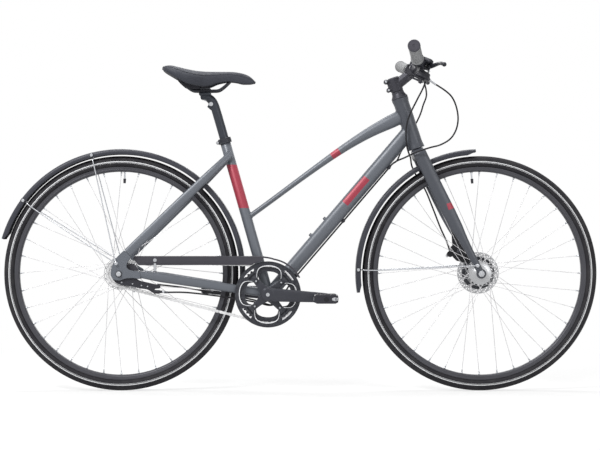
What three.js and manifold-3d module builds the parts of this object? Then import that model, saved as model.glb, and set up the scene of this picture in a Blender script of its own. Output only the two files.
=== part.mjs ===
// A step through bicycle: welded frame with a low curved top tube, hub gear, chain guard and full fenders.
// Millimetres. +X is forward, +Y is the rider's left and +Z is up.
// The origin is on the ground, midway between the two axles.
import * as THREE from "three";
import { mergeVertices } from "three/addons/utils/BufferGeometryUtils.js";
import Module from "manifold-3d";

const wasm = await Module();
wasm.setup();

// Gaps
const touch = 0.3; // between pieces that sit on each other
const running = 0.5; // between a shaft and its bore

// Wheels
const wheelbase = 1066;
const tyreRadius = 349;
const tyreWidth = 38;
const tyreHeight = 33; // outside the rim's seat
const rimDepth = 14;
const rimSeatRadius = tyreRadius - tyreHeight;
const rimInnerRadius = rimSeatRadius - rimDepth;
const rimWidth = 25;
const spokeCount = 36;
const spokeRadius = 1.3;
const spokeCross = 2;
const valveLength = 34;
const valveAngle = 85; // between two spokes
const wheelSegments = 40;

// Hubs and axles
const axleRadius = 4.8;
const axleNutRadius = 9;
const axleNutWidth = 7;
const frontHubFlangeRadius = 38;
const frontHubBodyRadius = 33;
const frontHubHalfFlange = 24;
const frontHubHalfWidth = 46;
const rearHubFlangeRadius = 48;
const rearHubBodyRadius = 43;
const rearHubHalfFlange = 29;
const rearHubHalfWidth = 37;
const hubFlangeThickness = 5;
const discRadius = 62.5;
const discThickness = 2;
const discOffset = 38;
const caliperFace = 44.5; // the caliper's outer side, beside the left blade
const discWindows = 10;

// Chain drive
const ringTeeth = 42;
const cogTeeth = 18;
const chainLinks = 100;
const chainPitch = 12.7;
const chainLine = 45;
const rollerHalfLength = 2.9;
const sprocketThickness = 2.2;
const chainInnerWidth = 3.8;
const chainPlateThickness = 1.5;
const chainPlateHeight = 8.2;

// Frame
const bottomBracketDrop = 61;
const shellRadius = 20;
const shellLength = 68;
const seatAngle = THREE.MathUtils.degToRad(74.1);
const seatTubeLength = 477;
const seatTubeRadius = 15.5;
const seatTubeBoreEnd = 170; // distance from the bottom bracket to the blind end of the bore
const headAngle = THREE.MathUtils.degToRad(71.5);
const forkRake = 59.5;
const forkLength = 411; // from the rake point up the steering axis to the head tube
const headTubeLength = 157;
const headTubeRadius = 23;
const headTubeFlare = 2;
const headTubeFlareHeight = 14;
const bearingRadius = 20.5;
const bearingHeight = 8;
const dropoutInside = 67.5;
const dropoutThickness = 6;
const dropoutHoleRadius = 5.3;
const bossRadius = 5.5;
const bossHeight = 4;

// Seat
const seatpostRadius = 13.6;
const seatpostInsertion = 179;
const railHeight = 891;
const seatpostHeadDrop = 33.649145; // under the saddle's rails
const railRadius = 3.5;
const railHalfSpacing = 22;
const saddleClampLength = 36;

// Steering
const steererRadius = 14.3;
const stemClampRadius = 18.5;
const stemClampBottom = 590;
const stemClampHeight = 42;
const stemReach = 73.8;
const stemRise = 24.3;
const barRadius = 11.1;
const barClampRadius = 15.9;
const barClampHalfWidth = 24;
const barStraightHalf = 105;
const barEnd = [59.6, 305, 684.3]; // in the steering frame
const gripRadius = 17;
const gripLength = 128;

// Cranks and pedals
const crankLength = 170;
const crankTilt = THREE.MathUtils.degToRad(3.1);
const crankThickness = 12;
const crankInside = 61;
const crankAxleRadius = 8.5;
const boltCircleRadius = 52.5;
const guardRadius = 97.5;
const guardRimWidth = 13.5;
const guardThickness = 3;
const pedalLength = 70;
const pedalWidth = 92;
const pedalHeight = 26;
const pedalSpindleRadius = 4.6;

// Fenders
const fenderClearance = 20; // over the tyre
const fenderRadius = tyreRadius + fenderClearance;
const fenderThickness = 2;
const fenderHalfWidth = 25;
const fenderSkirt = 15;
const stayRadius = 1.8;

// Colours
const paint = finish(0x53585c, 0.45, 0.35);
const black = finish(0x26272b, 0.55, 0.2);
const rubber = finish(0x1c1c1e, 0.9, 0);
const silver = finish(0xb9bcc0, 0.3, 0.9);
const greyMetal = finish(0x6f7378, 0.35, 0.8);
const darkMetal = finish(0x3a3c42, 0.4, 0.7);
const grip = finish(0x8b8e93, 0.85, 0);
const cableCover = finish(0x18181a, 0.6, 0);
const fenderFinish = finish(0x43454b, 0.5, 0.1);
const seatCover = finish(0x3f4147, 0.8, 0);

function finish(color, roughness, metalness) {
  return new THREE.MeshStandardMaterial({ color, roughness, metalness });
}

// Solids

function at(x, y, z) {
  return new THREE.Vector3(x, y, z);
}

function listed(points) {
  return points.map((p) => at(...p));
}

function mirrored(points) {
  return points.map((p) => at(p.x, -p.y, p.z));
}

// A closed three.js geometry as a solid that can be joined and cut.
function solid(geometry) {
  const bare = new THREE.BufferGeometry();
  const loose = geometry.index ? geometry.toNonIndexed() : geometry;
  bare.setAttribute("position", loose.getAttribute("position").clone());
  const merged = mergeVertices(bare, 1e-4);
  const index = merged.index.array;
  const triangles = [];
  for (let i = 0; i < index.length; i += 3) {
    const [a, b, c] = [index[i], index[i + 1], index[i + 2]];
    if (a !== b && b !== c && c !== a) triangles.push(a, b, c);
  }
  const made = manifoldOf(merged.attributes.position.array, triangles);
  if (made.volume() > 0) return made;
  return manifoldOf(merged.attributes.position.array, triangles.reverse());
}

function manifoldOf(positions, triangles) {
  return new wasm.Manifold(
    new wasm.Mesh({
      numProp: 3,
      vertProperties: new Float32Array(positions),
      triVerts: new Uint32Array(triangles),
    }),
  );
}

function join(...solids) {
  return wasm.Manifold.union(solids);
}

function cut(body, ...tools) {
  return tools.reduce((left, tool) => left.subtract(tool), body);
}

// Side surface and two end caps through a row of outlines with the same number of points.
function loft(rows, closed = false) {
  const count = rows[0].length;
  const vertices = rows.flat();
  const triangles = [];
  const spans = closed ? rows.length : rows.length - 1;
  for (let row = 0; row < spans; row++) {
    const next = (row + 1) % rows.length;
    for (let i = 0; i < count; i++) {
      const j = (i + 1) % count;
      const [a, b] = [row * count + i, row * count + j];
      const [c, d] = [next * count + i, next * count + j];
      triangles.push(a, b, d, a, d, c);
    }
  }
  if (!closed) {
    for (const [a, b, c] of capOf(rows[0])) triangles.push(c, b, a);
    const start = (rows.length - 1) * count;
    for (const [a, b, c] of capOf(rows.at(-1))) triangles.push(start + a, start + b, start + c);
  }
  const geometry = new THREE.BufferGeometry();
  geometry.setAttribute(
    "position",
    new THREE.Float32BufferAttribute(vertices.flatMap((p) => [p.x, p.y, p.z]), 3),
  );
  geometry.setIndex(triangles);
  return solid(geometry);
}

// Triangles that fill one flat outline, wound the way the outline runs.
function capOf(outline) {
  const normal = at(0, 0, 0);
  outline.forEach((p, i) => normal.add(p.clone().cross(outline[(i + 1) % outline.length])));
  normal.normalize();
  const across = outline[1].clone().sub(outline[0]).projectOnPlane(normal).normalize();
  const along = normal.clone().cross(across);
  const flat = outline.map((p) => new THREE.Vector2(p.dot(across), p.dot(along)));
  return THREE.ShapeUtils.triangulateShape(flat, []);
}

// A tube through points, wide along Y-like sides and high across them, that can taper.
function taperedTube(points, steps, sides, sizeAt) {
  const curve = new THREE.CatmullRomCurve3(points, false, "centripetal");
  const rows = [];
  for (let i = 0; i <= steps; i++) {
    const t = i / steps;
    const centre = curve.getPointAt(t);
    const tangent = curve.getTangentAt(t);
    const side = at(0, 1, 0).projectOnPlane(tangent).normalize();
    const up = side.clone().cross(tangent);
    const { halfHeight, halfWidth } = sizeAt(t);
    rows.push(ringOf(sides, centre, side, halfWidth, up, halfHeight));
  }
  return loft(rows);
}

function ringOf(sides, centre, side, halfWidth, up, halfHeight) {
  return Array.from({ length: sides }, (unused, i) => {
    const angle = ((i + 0.5) * 2 * Math.PI) / sides;
    return centre
      .clone()
      .addScaledVector(side, halfWidth * Math.cos(angle))
      .addScaledVector(up, halfHeight * Math.sin(angle));
  });
}

// A round tube of one radius along points.
function wire(points, radius, sides, steps) {
  const outline = new THREE.Shape(
    Array.from({ length: sides }, (unused, i) => {
      const angle = (i * 2 * Math.PI) / sides;
      return new THREE.Vector2(radius * Math.cos(angle), radius * Math.sin(angle));
    }),
  );
  const path = new THREE.CatmullRomCurve3(points, false, "centripetal");
  return solid(new THREE.ExtrudeGeometry(outline, { steps, extrudePath: path, bevelEnabled: false }));
}

function rod(from, to, radius, sides = 12, endRadius = radius) {
  const along = to.clone().sub(from).normalize();
  const side = (Math.abs(along.y) > 0.9 ? at(1, 0, 0) : at(0, 1, 0)).projectOnPlane(along).normalize();
  const up = side.clone().cross(along);
  return loft([ringOf(sides, from, side, radius, up, radius), ringOf(sides, to, side, endRadius, up, endRadius)]);
}

// A rod along Y at x, z.
function crossRod(x, z, fromY, toY, radius, sides = 12) {
  return rod(at(x, fromY, z), at(x, toY, z), radius, sides);
}

// A closed profile of [radius, place along Y] points, revolved round the Y axis.
function turned(profile, segments) {
  const points = profile.map(([radius, y]) => new THREE.Vector2(radius, y));
  points.push(points[0].clone());
  return solid(new THREE.LatheGeometry(points, segments));
}

// A flat plate: its shape lies in X and Z, and it fills fromY to toY.
function plate(shape, fromY, toY) {
  const depth = Math.abs(toY - fromY);
  const geometry = new THREE.ExtrudeGeometry(shape, { depth, bevelEnabled: false, curveSegments: 6 });
  geometry.rotateX(Math.PI / 2);
  return solid(geometry.translate(0, Math.max(fromY, toY), 0));
}

function polygon(points) {
  return new THREE.Shape(points.map(([x, z]) => new THREE.Vector2(x, z)));
}

function box(from, to) {
  const size = to.clone().sub(from);
  const geometry = new THREE.BoxGeometry(Math.abs(size.x), Math.abs(size.y), Math.abs(size.z));
  const middle = from.clone().add(to).multiplyScalar(0.5);
  return solid(geometry.translate(middle.x, middle.y, middle.z));
}

function ball(centre, radius) {
  return solid(new THREE.SphereGeometry(radius, 8, 5).translate(centre.x, centre.y, centre.z));
}

// Moves a solid built round the origin: its Y goes along direction, its X as near to facing as it can.
function placed(body, origin, direction, facing = at(1, 0, 0)) {
  const y = direction.clone().normalize();
  const x = facing.clone().projectOnPlane(y).normalize();
  const z = x.clone().cross(y);
  const matrix = new THREE.Matrix4().makeBasis(x, y, z).setPosition(origin);
  return body.transform(matrix.toArray());
}

function meshOf(body, name, material) {
  const { vertProperties, triVerts, numProp } = body.getMesh();
  const geometry = new THREE.BufferGeometry();
  const positions = new Float32Array((vertProperties.length / numProp) * 3);
  for (let i = 0; i < positions.length / 3; i++) {
    positions.set(vertProperties.subarray(i * numProp, i * numProp + 3), i * 3);
  }
  geometry.setAttribute("position", new THREE.BufferAttribute(positions, 3));
  geometry.setIndex([...triVerts]);
  geometry.computeVertexNormals();
  const mesh = new THREE.Mesh(geometry, material);
  mesh.name = name;
  return mesh;
}

// Places

const rearAxle = at(-wheelbase / 2, 0, tyreRadius);
const frontAxle = at(wheelbase / 2, 0, tyreRadius);
const ringRadius = pitchRadius(ringTeeth);
const cogRadius = pitchRadius(cogTeeth);
const chainstayLength = centresFor(chainLinks);
const bottomBracket = at(
  rearAxle.x + Math.sqrt(chainstayLength ** 2 - bottomBracketDrop ** 2),
  0,
  rearAxle.z - bottomBracketDrop,
);
const seatDirection = at(-Math.cos(seatAngle), 0, Math.sin(seatAngle));
const steerUp = at(-Math.cos(headAngle), 0, Math.sin(headAngle));
const steerForward = at(Math.sin(headAngle), 0, Math.cos(headAngle));
const rakePoint = frontAxle.clone().addScaledVector(steerForward, -forkRake);
const headTop = forkLength + headTubeLength;
const dropoutOutside = dropoutInside + dropoutThickness;
// Along the seat tube, from the bottom bracket.
const seatpostHeadHeight = (railHeight - seatpostHeadDrop - bottomBracket.z) / Math.sin(seatAngle);

function pitchRadius(teeth) {
  return chainPitch / (2 * Math.sin(Math.PI / teeth));
}

// Pitches of chain round both sprockets for a distance between their centres.
function pitchesFor(centres) {
  const lean = Math.asin((ringRadius - cogRadius) / centres);
  const straight = (2 * centres * Math.cos(lean)) / chainPitch;
  const ringPart = (ringTeeth * (Math.PI + 2 * lean)) / (2 * Math.PI);
  const cogPart = (cogTeeth * (Math.PI - 2 * lean)) / (2 * Math.PI);
  return straight + ringPart + cogPart;
}

// The distance between centres at which a chain of so many links is just tight.
function centresFor(links) {
  let centres = 440;
  for (let i = 0; i < 20; i++) centres += ((links - pitchesFor(centres)) * chainPitch) / 2;
  return centres;
}

function seatPoint(distance, behind = 0, y = 0) {
  return bottomBracket
    .clone()
    .addScaledVector(seatDirection, distance)
    .add(at(-behind * Math.sin(seatAngle), y, -behind * Math.cos(seatAngle)));
}

// A place from the steering frame: forward of the steering axis, sideways and up along it.
function steerPoint(forward, y, up) {
  return rakePoint
    .clone()
    .addScaledVector(steerForward, forward)
    .addScaledVector(steerUp, up)
    .add(at(0, y, 0));
}

function polar(centre, radius, degrees, y = 0) {
  const angle = THREE.MathUtils.degToRad(degrees);
  return at(centre.x + radius * Math.cos(angle), y, centre.z + radius * Math.sin(angle));
}

// Frame

const shellCutter = crossRod(
  bottomBracket.x,
  bottomBracket.z,
  -shellLength,
  shellLength,
  shellRadius + running,
  20,
);
const headCutter = join(
  rod(steerPoint(0, 0, forkLength), steerPoint(0, 0, headTop + 20), headTubeRadius + touch, 24),
  rod(
    steerPoint(0, 0, forkLength - 40),
    steerPoint(0, 0, forkLength + headTubeFlareHeight + headTubeFlare),
    headTubeRadius + headTubeFlare + touch,
    24,
  ),
);
const seatCutter = rod(seatPoint(0), seatPoint(seatTubeLength + 20), seatTubeRadius + touch, 24);

function headTube() {
  const profile = [
    [bearingRadius + touch, 0],
    [bearingRadius + touch, bearingHeight],
    [steererRadius + 3, bearingHeight],
    [steererRadius + 3, headTubeLength - bearingHeight],
    [bearingRadius + touch, headTubeLength - bearingHeight],
    [bearingRadius + touch, headTubeLength],
    [headTubeRadius + headTubeFlare, headTubeLength],
    [headTubeRadius, headTubeLength - headTubeFlareHeight],
    [headTubeRadius, headTubeFlareHeight],
    [headTubeRadius + headTubeFlare, 0],
  ];
  return placed(turned(profile, 18), steerPoint(0, 0, forkLength), steerUp);
}

function headsetBearing(bottom) {
  const inner = steererRadius + running;
  const profile = [
    [inner, 0],
    [bearingRadius, 0],
    [bearingRadius, bearingHeight - 2 * touch],
    [inner, bearingHeight - 2 * touch],
  ];
  return placed(turned(profile, 18), steerPoint(0, 0, bottom), steerUp);
}

// The low tube leaves the seat tube above the chainring and rises in a shallow S to the head tube.
function topTube() {
  const seatEnd = seatPoint(233);
  const headEnd = steerPoint(0, 0, headTop - 50);
  const points = [
    seatEnd,
    at(-84, 0, 567),
    at(5, 0, 633),
    at(94, 0, 697),
    at(154, 0, 737),
    at(213, 0, 772),
    headEnd,
  ];
  const thin = 7.8;
  const deep = 24;
  const body = taperedTube(points, 14, 12, (t) => ({
    halfHeight: THREE.MathUtils.lerp(thin, deep, t ** 3),
    halfWidth: THREE.MathUtils.lerp(10, 15, t * t),
  }));
  return cut(body, seatCutter, headCutter, downTubeSolid(touch));
}

// The tube's middle line passes a little in front of the bottom bracket.
const downTubeFoot = bottomBracket.clone().add(at(3, 0, -2.6));
const downTubeHeadPlace = steerPoint(0, 0, forkLength + 58.5);
const downTubeHalfDepth = 20;
const downTubeHalfWidth = 18;

function downTubeSolid(grown = 0) {
  return taperedTube([downTubeFoot, downTubeHeadPlace], 9, 14, (t) => ({
    halfHeight: downTubeHalfDepth + grown + 2 * t - 4 * Math.max(0, 1 - t * 9),
    halfWidth: downTubeHalfWidth + grown,
  }));
}

// Along the down tube from its foot, with the place above (+) or under (-) its middle line.
function downTubePoint(distance, above, y = 0) {
  const along = downTubeHeadPlace.clone().sub(downTubeFoot).normalize();
  const up = at(-along.z, 0, along.x);
  return downTubeFoot.clone().addScaledVector(along, distance).addScaledVector(up, above).add(at(0, y, 0));
}

const bossPlaces = [215, 279];
const cableClipPlaces = [95, 310, 519];

function downTube() {
  const bosses = bossPlaces.map((place) =>
    rod(downTubePoint(place, 10), downTubePoint(place, downTubeHalfDepth + bossHeight), bossRadius, 10),
  );
  const clips = cableClipPlaces.map(cableClip);
  return cut(join(downTubeSolid(), ...bosses, ...clips), shellCutter, headCutter, seatCutter);
}

const cableRadius = 2.5;
const cableSpread = 6;
const cableDrop = 5;

// A block between the two cables that run under the tube.
function cableClip(place) {
  const along = downTubePoint(1, 0).sub(downTubePoint(0, 0));
  const width = 2 * (cableSpread - cableRadius - touch);
  const size = new THREE.BoxGeometry(cableDrop + 8, 14, width);
  return placed(solid(size), downTubePoint(place, -downTubeHalfDepth - cableDrop / 2), along, at(-along.z, 0, along.x));
}

function seatTube() {
  const bore = rod(seatPoint(seatTubeBoreEnd), seatPoint(seatTubeLength + 5), seatpostRadius + running, 18);
  const body = rod(seatPoint(0), seatPoint(seatTubeLength), seatTubeRadius, 18);
  return cut(body, bore, shellCutter);
}

function bottomBracketShell() {
  const half = shellLength / 2;
  const profile = [
    [shellRadius - 2.7, -half],
    [shellRadius, -half],
    [shellRadius, half],
    [shellRadius - 2.7, half],
  ];
  return placed(turned(profile, 20), bottomBracket, at(0, 1, 0));
}

function bottomBracketUnit() {
  const half = shellLength / 2;
  const bore = crankAxleRadius + running;
  const outer = shellRadius - 2.7 - touch;
  const lip = 3;
  const profile = [
    [bore, -half - lip],
    [outer + 1.5, -half - lip],
    [outer + 1.5, -half - touch],
    [outer, -half - touch],
    [outer, half + touch],
    [outer + 1.5, half + touch],
    [outer + 1.5, half + lip],
    [bore, half + lip],
  ];
  return placed(turned(profile, 20), bottomBracket, at(0, 1, 0));
}

// Chainstay: [x, y] along its run, and its height falls in a straight line to the bottom bracket.
const chainstayRun = [
  [-112, 24],
  [-150, 28],
  [-190, 31.5],
  [-260, 37.5],
  [-370, 52],
  [-475, 67],
];
const chainstaySlope = 0.153;

function chainstayPoint([x, y]) {
  return at(x, y, bottomBracket.z + 1 + chainstaySlope * (bottomBracket.x - x));
}

// The dropout plate's outline, from the axle: under the chainstay, round the axle and up to the seatstay.
const dropoutOutline = [
  [62, -17],
  [62, 9],
  [38, 24],
  [34.9, 51.6],
  [16.3, 70.7],
  [-8, 47],
  [-21, 22],
  [-25, -2],
  [-18, -20],
  [0, -27],
  [26, -22],
];

function dropoutPlate(side, grown = 0) {
  const shape = polygon(dropoutOutline.map(([x, z]) => [rearAxle.x + x, rearAxle.z + z]));
  return plate(shape, side * (dropoutInside - grown), side * (dropoutOutside + grown));
}

function chainstay(side) {
  const points = chainstayRun.map(([x, y]) => chainstayPoint([x, side * y]));
  const body = taperedTube(points, 8, 10, (t) => ({
    halfHeight: THREE.MathUtils.lerp(11.8, 13.6, t),
    halfWidth: 7,
  }));
  const hole = crossRod(rearAxle.x, rearAxle.z, side * 50, side * 90, dropoutHoleRadius, 12);
  const pieces = [body, dropoutPlate(side)];
  if (side > 0) pieces.push(chainstayBridge());
  return cut(join(...pieces), shellCutter, hole);
}

// The bridge behind the bottom bracket, on the left chainstay.
function chainstayBridge() {
  const { x, z } = chainstayPoint([-148, 0]);
  return crossRod(x, z, 26, -19.6, 6, 10);
}

// Seatstay: how far along it is from the top, and how far sideways.
const seatstayTop = at(-212, 0, 697.5);
const seatstayFoot = at(-507, 0, 410.5);
const seatstayRun = [
  [0, 17],
  [0.14, 36],
  [0.3, 45],
  [0.62, 58],
  [1, (dropoutInside + dropoutOutside) / 2],
];
const bridgePlace = 0.2;

function seatstayPoint([t, y]) {
  const point = seatstayTop.clone().lerp(seatstayFoot, t);
  return point.add(at(0, y, 0));
}

// The stay grows deeper over its upper half.
function seatstayTube(side, grown = 0) {
  const points = seatstayRun.map(([t, y]) => seatstayPoint([t, side * y]));
  return taperedTube(points, 9, 10, (t) => ({
    halfHeight: THREE.MathUtils.lerp(10.3, 13.3, Math.min(1, t / 0.45)) + grown,
    halfWidth: THREE.MathUtils.lerp(8, 6.2, t) + grown,
  }));
}

function seatstay(side) {
  const body = seatstayTube(side);
  const whole = side > 0 ? join(body, seatstayBridge()) : body;
  return cut(whole, seatCutter);
}

// The bridge, on the left seatstay, ties both and holds the fender by a short boss.
function seatstayBridge() {
  const centre = seatstayPoint([bridgePlace, 0]);
  const half = 38;
  const toAxle = rearAxle.clone().sub(centre).normalize();
  const distance = centre.distanceTo(rearAxle);
  const boss = rod(centre, centre.clone().addScaledVector(toAxle, distance - fenderRadius - touch), 5, 10);
  const tube = crossRod(centre.x, centre.z, -half, half, 6.5, 10);
  return cut(join(tube, boss), seatstayTube(-1, touch));
}

function seatClamp() {
  const inner = seatTubeRadius + running;
  const outer = inner + 4;
  const below = 11;
  const above = 4;
  const profile = [
    [inner, -below],
    [outer, -below],
    [outer, above],
    [seatpostRadius + running, above],
    [seatpostRadius + running, touch],
    [inner, touch],
  ];
  const ring = placed(turned(profile, 16), seatPoint(seatTubeLength), seatDirection);
  const ear = seatPoint(seatTubeLength - 4, outer + 2);
  const bolt = crossRod(ear.x, ear.z, -11, 11, 4.5, 8);
  const lug = rod(seatPoint(seatTubeLength - 4, inner + 1), seatPoint(seatTubeLength - 4, outer + 3), 5, 8);
  return join(ring, lug, bolt);
}

// Seat

function seatpostHead() {
  return seatPoint(seatpostHeadHeight);
}

const clampCentre = -282; // x of the rail clamp

function seatpost() {
  const post = rod(seatPoint(seatTubeLength - seatpostInsertion), seatPoint(seatpostHeadHeight), seatpostRadius, 16);
  const cradleTop = railHeight - railRadius - 2 * touch;
  const half = saddleClampLength / 2;
  const neck = taperedTube(
    [seatPoint(seatpostHeadHeight - 12), seatPoint(seatpostHeadHeight + 8, 4), at(clampCentre + 4, 0, cradleTop - 8)],
    5,
    12,
    () => ({ halfHeight: 11.5, halfWidth: 12.5 }),
  );
  const cradle = box(at(clampCentre - half, -27, cradleTop - 16), at(clampCentre + half, 27, cradleTop));
  const screw = rod(seatPoint(seatpostHeadHeight - 22, 10), seatPoint(seatpostHeadHeight - 6, 20), 4, 8);
  const boltHole = rod(at(clampCentre, 0, cradleTop - 40), at(clampCentre, 0, cradleTop + 4), 3 + touch, 10);
  return cut(join(post, neck, cradle, screw), boltHole);
}

function railClamp() {
  const bottom = railHeight + railRadius + touch;
  const half = saddleClampLength / 2 - 2;
  const body = box(at(clampCentre - half, -27, bottom), at(clampCentre + half, 27, bottom + 6));
  const boltTop = bottom + 3;
  const bolt = rod(at(clampCentre, 0, railHeight - 14), at(clampCentre, 0, boltTop), 3, 10);
  return join(body, bolt);
}

function saddleRails() {
  const half = [
    at(clampCentre - 85, 36, railHeight + 47),
    at(clampCentre - 64, 28, railHeight + 20),
    at(clampCentre - 39, railHalfSpacing + 1, railHeight + 2),
    at(clampCentre - 24, railHalfSpacing, railHeight),
    at(clampCentre, railHalfSpacing, railHeight),
    at(clampCentre + 24, railHalfSpacing, railHeight),
    at(clampCentre + 41, railHalfSpacing - 1, railHeight + 2),
    at(clampCentre + 67, 14, railHeight + 22),
    at(clampCentre + 77, 5, railHeight + 32.5),
  ];
  return wire([...half, ...mirrored(half).reverse()], railRadius, 6, 26);
}

// The saddle from tail to nose, from the rail clamp: x, height of the crown, half width, lowest edge of the side,
// underside.
const saddleSections = [
  [-127, 71, 30, 64, 65],
  [-120, 77, 52, 59, 65],
  [-106, 79.5, 66, 52, 59],
  [-80, 74, 74, 37, 53],
  [-53, 67, 73, 26, 46],
  [-23, 62.5, 62, 20, 40],
  [7, 61.5, 45, 20, 38],
  [37, 61.5, 33, 26, 38],
  [72, 61, 25, 30, 38],
  [102, 58.5, 21, 24, 35],
  [126, 50.5, 19, 24, 30],
  [140, 40, 14, 25, 27],
  [148, 31, 7, 26, 26.5],
];

function saddle() {
  const rows = saddleSections.map(([x, top, width, edge, under]) => {
    const half = [
      [0.32, top - 0.8],
      [0.66, top - 4 * (width / 74) - 1],
      [0.9, top - 0.3 * (top - edge)],
      [1, top - 0.62 * (top - edge)],
      [0.93, edge],
      [0.72, THREE.MathUtils.lerp(edge, under, 0.6)],
      [0.3, under],
    ];
    const left = half.map(([share, z]) => at(clampCentre + x, share * width, railHeight + z));
    return [...left, ...mirrored(left).reverse()];
  });
  return loft(rows);
}

// Fork and cockpit, built in the steering frame: X forward, Z up the steering axis.

const bladeTop = 398;
const bladeRun = [
  [bladeTop, 45],
  [300, 49],
  [200, 52],
  [110, 55],
  [14, 57.5],
];
const bladeSize = [
  [0, 19.5, 10.5],
  [0.3, 20.3, 10.5],
  [0.62, 18.5, 9.8],
  [0.72, 14.5, 9],
  [0.83, 10.3, 8],
  [1, 8, 6.5],
];

function rakeAt(up) {
  return forkRake * (1 - up / (forkLength + 4)) ** 1.2;
}

function sizeFrom(table, t) {
  const next = table.findIndex(([place]) => place >= t);
  if (next <= 0) return { halfHeight: table[0][1], halfWidth: table[0][2] };
  const [before, after] = [table[next - 1], table[next]];
  const share = (t - before[0]) / (after[0] - before[0]);
  return {
    halfHeight: THREE.MathUtils.lerp(before[1], after[1], share),
    halfWidth: THREE.MathUtils.lerp(before[2], after[2], share),
  };
}

function fork() {
  const crownBottom = fenderRadius + 8;
  const crownShape = polygon([
    [-57, crownBottom + 2],
    [-56, crownBottom + 18],
    [-46, crownBottom + 28],
    [-26, forkLength - touch - 4],
    [-20, forkLength - touch],
    [20, forkLength - touch],
    [26, forkLength - touch - 4],
    [46, crownBottom + 28],
    [56, crownBottom + 18],
    [57, crownBottom + 2],
  ]);
  const crown = plate(crownShape, -19, 19).transform(quarterTurn());
  const steerer = rod(at(0, 0, forkLength - 10), at(0, 0, stemClampBottom + stemClampHeight - 2), steererRadius, 16);
  const blades = [-1, 1].map((side) => {
    const points = bladeRun.map(([up, y]) => at(rakeAt(up), side * y, up));
    return taperedTube(points, 9, 10, (t) => sizeFrom(bladeSize, t));
  });
  const tips = [-1, 1].map((side) => crossRod(forkRake, 0, side * 50.6, side * 58, 14.5, 14));
  const holes = [-1, 1].map((side) => crossRod(forkRake, 0, side * 40, side * 70, axleRadius + running, 12));
  const toAxle = at(forkRake, 0, -crownBottom).normalize();
  const crownCentre = at(0, 0, crownBottom);
  const reach = Math.hypot(forkRake, crownBottom) - fenderRadius - touch;
  const fenderBoss = rod(at(0, 0, crownBottom + 6), crownCentre.addScaledVector(toAxle, reach), 6, 8);
  const lugs = caliperLugs.map(([x, z]) => crossRod(x, z, caliperFace + touch, 53, 5, 8));
  return cut(join(crown, steerer, fenderBoss, ...blades, ...tips, ...lugs), ...holes);
}

// Where the caliper is bolted to the left blade, in the steering frame.
const caliperLugs = [
  [39, 99.6],
  [49, 62],
];

// Turns a plate made in X and Z so that its X goes to Y.
function quarterTurn() {
  return new THREE.Matrix4().makeRotationZ(Math.PI / 2).toArray();
}

function headsetSpacer() {
  const bottom = headTop + touch;
  const height = stemClampBottom - touch - bottom;
  const bore = steererRadius + running;
  const profile = [
    [bore, 0],
    [headTubeRadius + headTubeFlare, 0],
    [headTubeRadius + headTubeFlare, 4],
    [stemClampRadius, height * 0.72],
    [stemClampRadius, height],
    [bore, height],
  ];
  return placed(turned(profile, 16), at(0, 0, bottom), at(0, 0, 1));
}

const barCentre = at(stemReach, 0, stemClampBottom + stemClampHeight / 2 + stemRise);

function stem() {
  const middle = stemClampBottom + stemClampHeight / 2;
  const clamp = rod(at(0, 0, stemClampBottom), at(0, 0, stemClampBottom + stemClampHeight), stemClampRadius, 16);
  const arm = rod(at(6, 0, middle), barCentre.clone().add(at(-8, 0, -3)), 16, 14, 15);
  const front = rod(
    barCentre.clone().setY(-barClampHalfWidth + 2),
    barCentre.clone().setY(barClampHalfWidth - 2),
    barClampRadius + 5,
    16,
  );
  const bolts = [10, stemClampHeight - 10].map((up) =>
    rod(at(-stemClampRadius - 5, -12, stemClampBottom + up), at(-stemClampRadius - 5, 12, stemClampBottom + up), 4, 8),
  );
  const lugs = [10, stemClampHeight - 10].map((up) =>
    box(at(-stemClampRadius - 6, -7, stemClampBottom + up - 5), at(-10, 7, stemClampBottom + up + 5)),
  );
  const bore = rod(
    at(0, 0, stemClampBottom - 5),
    at(0, 0, stemClampBottom + stemClampHeight - 2 + touch),
    steererRadius + running,
    16,
  );
  const barBore = rod(barCentre.clone().setY(-40), barCentre.clone().setY(40), barClampRadius + running, 16);
  return cut(join(clamp, arm, front, ...bolts, ...lugs), bore, barBore);
}

const barTip = at(...barEnd);
const barBend = at(barCentre.x - 0.4, barStraightHalf + 14, barCentre.z);
const barOut = barTip.clone().sub(barBend).normalize();

function barPoint(y) {
  return barBend.clone().addScaledVector(barOut, (y - barBend.y) / barOut.y);
}

// One tube, thick where the stem holds it.
function handlebar() {
  const flat = barClampHalfWidth + 4;
  const half = [
    [barCentre.clone(), barClampRadius],
    [barCentre.clone().setY(flat), barClampRadius],
    [barCentre.clone().setY(flat + 18), barRadius],
    [barCentre.clone().setY(barStraightHalf), barRadius],
    [barBend.clone().add(at(0, -4, 0.2)), barRadius],
    [barPoint(barBend.y + 5), barRadius],
    [barPoint(barBend.y + 14), barRadius],
    [barTip, barRadius],
  ];
  const left = half.slice(1).map(([p, radius]) => [at(p.x, -p.y, p.z), radius]);
  const run = [...left.reverse(), ...half];
  const rows = run.map(([centre, radius], i) => {
    const before = run[Math.max(i - 1, 0)][0];
    const after = run[Math.min(i + 1, run.length - 1)][0];
    const along = after.clone().sub(before).normalize();
    const side = at(1, 0, 0).projectOnPlane(along).normalize();
    return ringOf(12, centre, side, radius, side.clone().cross(along), radius);
  });
  return loft(rows);
}

// Frame of one end of the bar: out along it, towards the lever and across both, about which levers turn.
function barFrame(side, y) {
  const mirror = (v) => at(v.x, side * v.y, v.z);
  const out = mirror(barOut);
  const toLever = at(1, 0, -1).projectOnPlane(out).normalize();
  return { origin: mirror(barPoint(y)), out, toLever, turn: toLever.clone().cross(out).multiplyScalar(side) };
}

function inFrame({ origin, out, toLever, turn }, outward, forward, up) {
  return origin
    .clone()
    .addScaledVector(out, outward)
    .addScaledVector(toLever, forward)
    .addScaledVector(turn, up);
}

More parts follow.
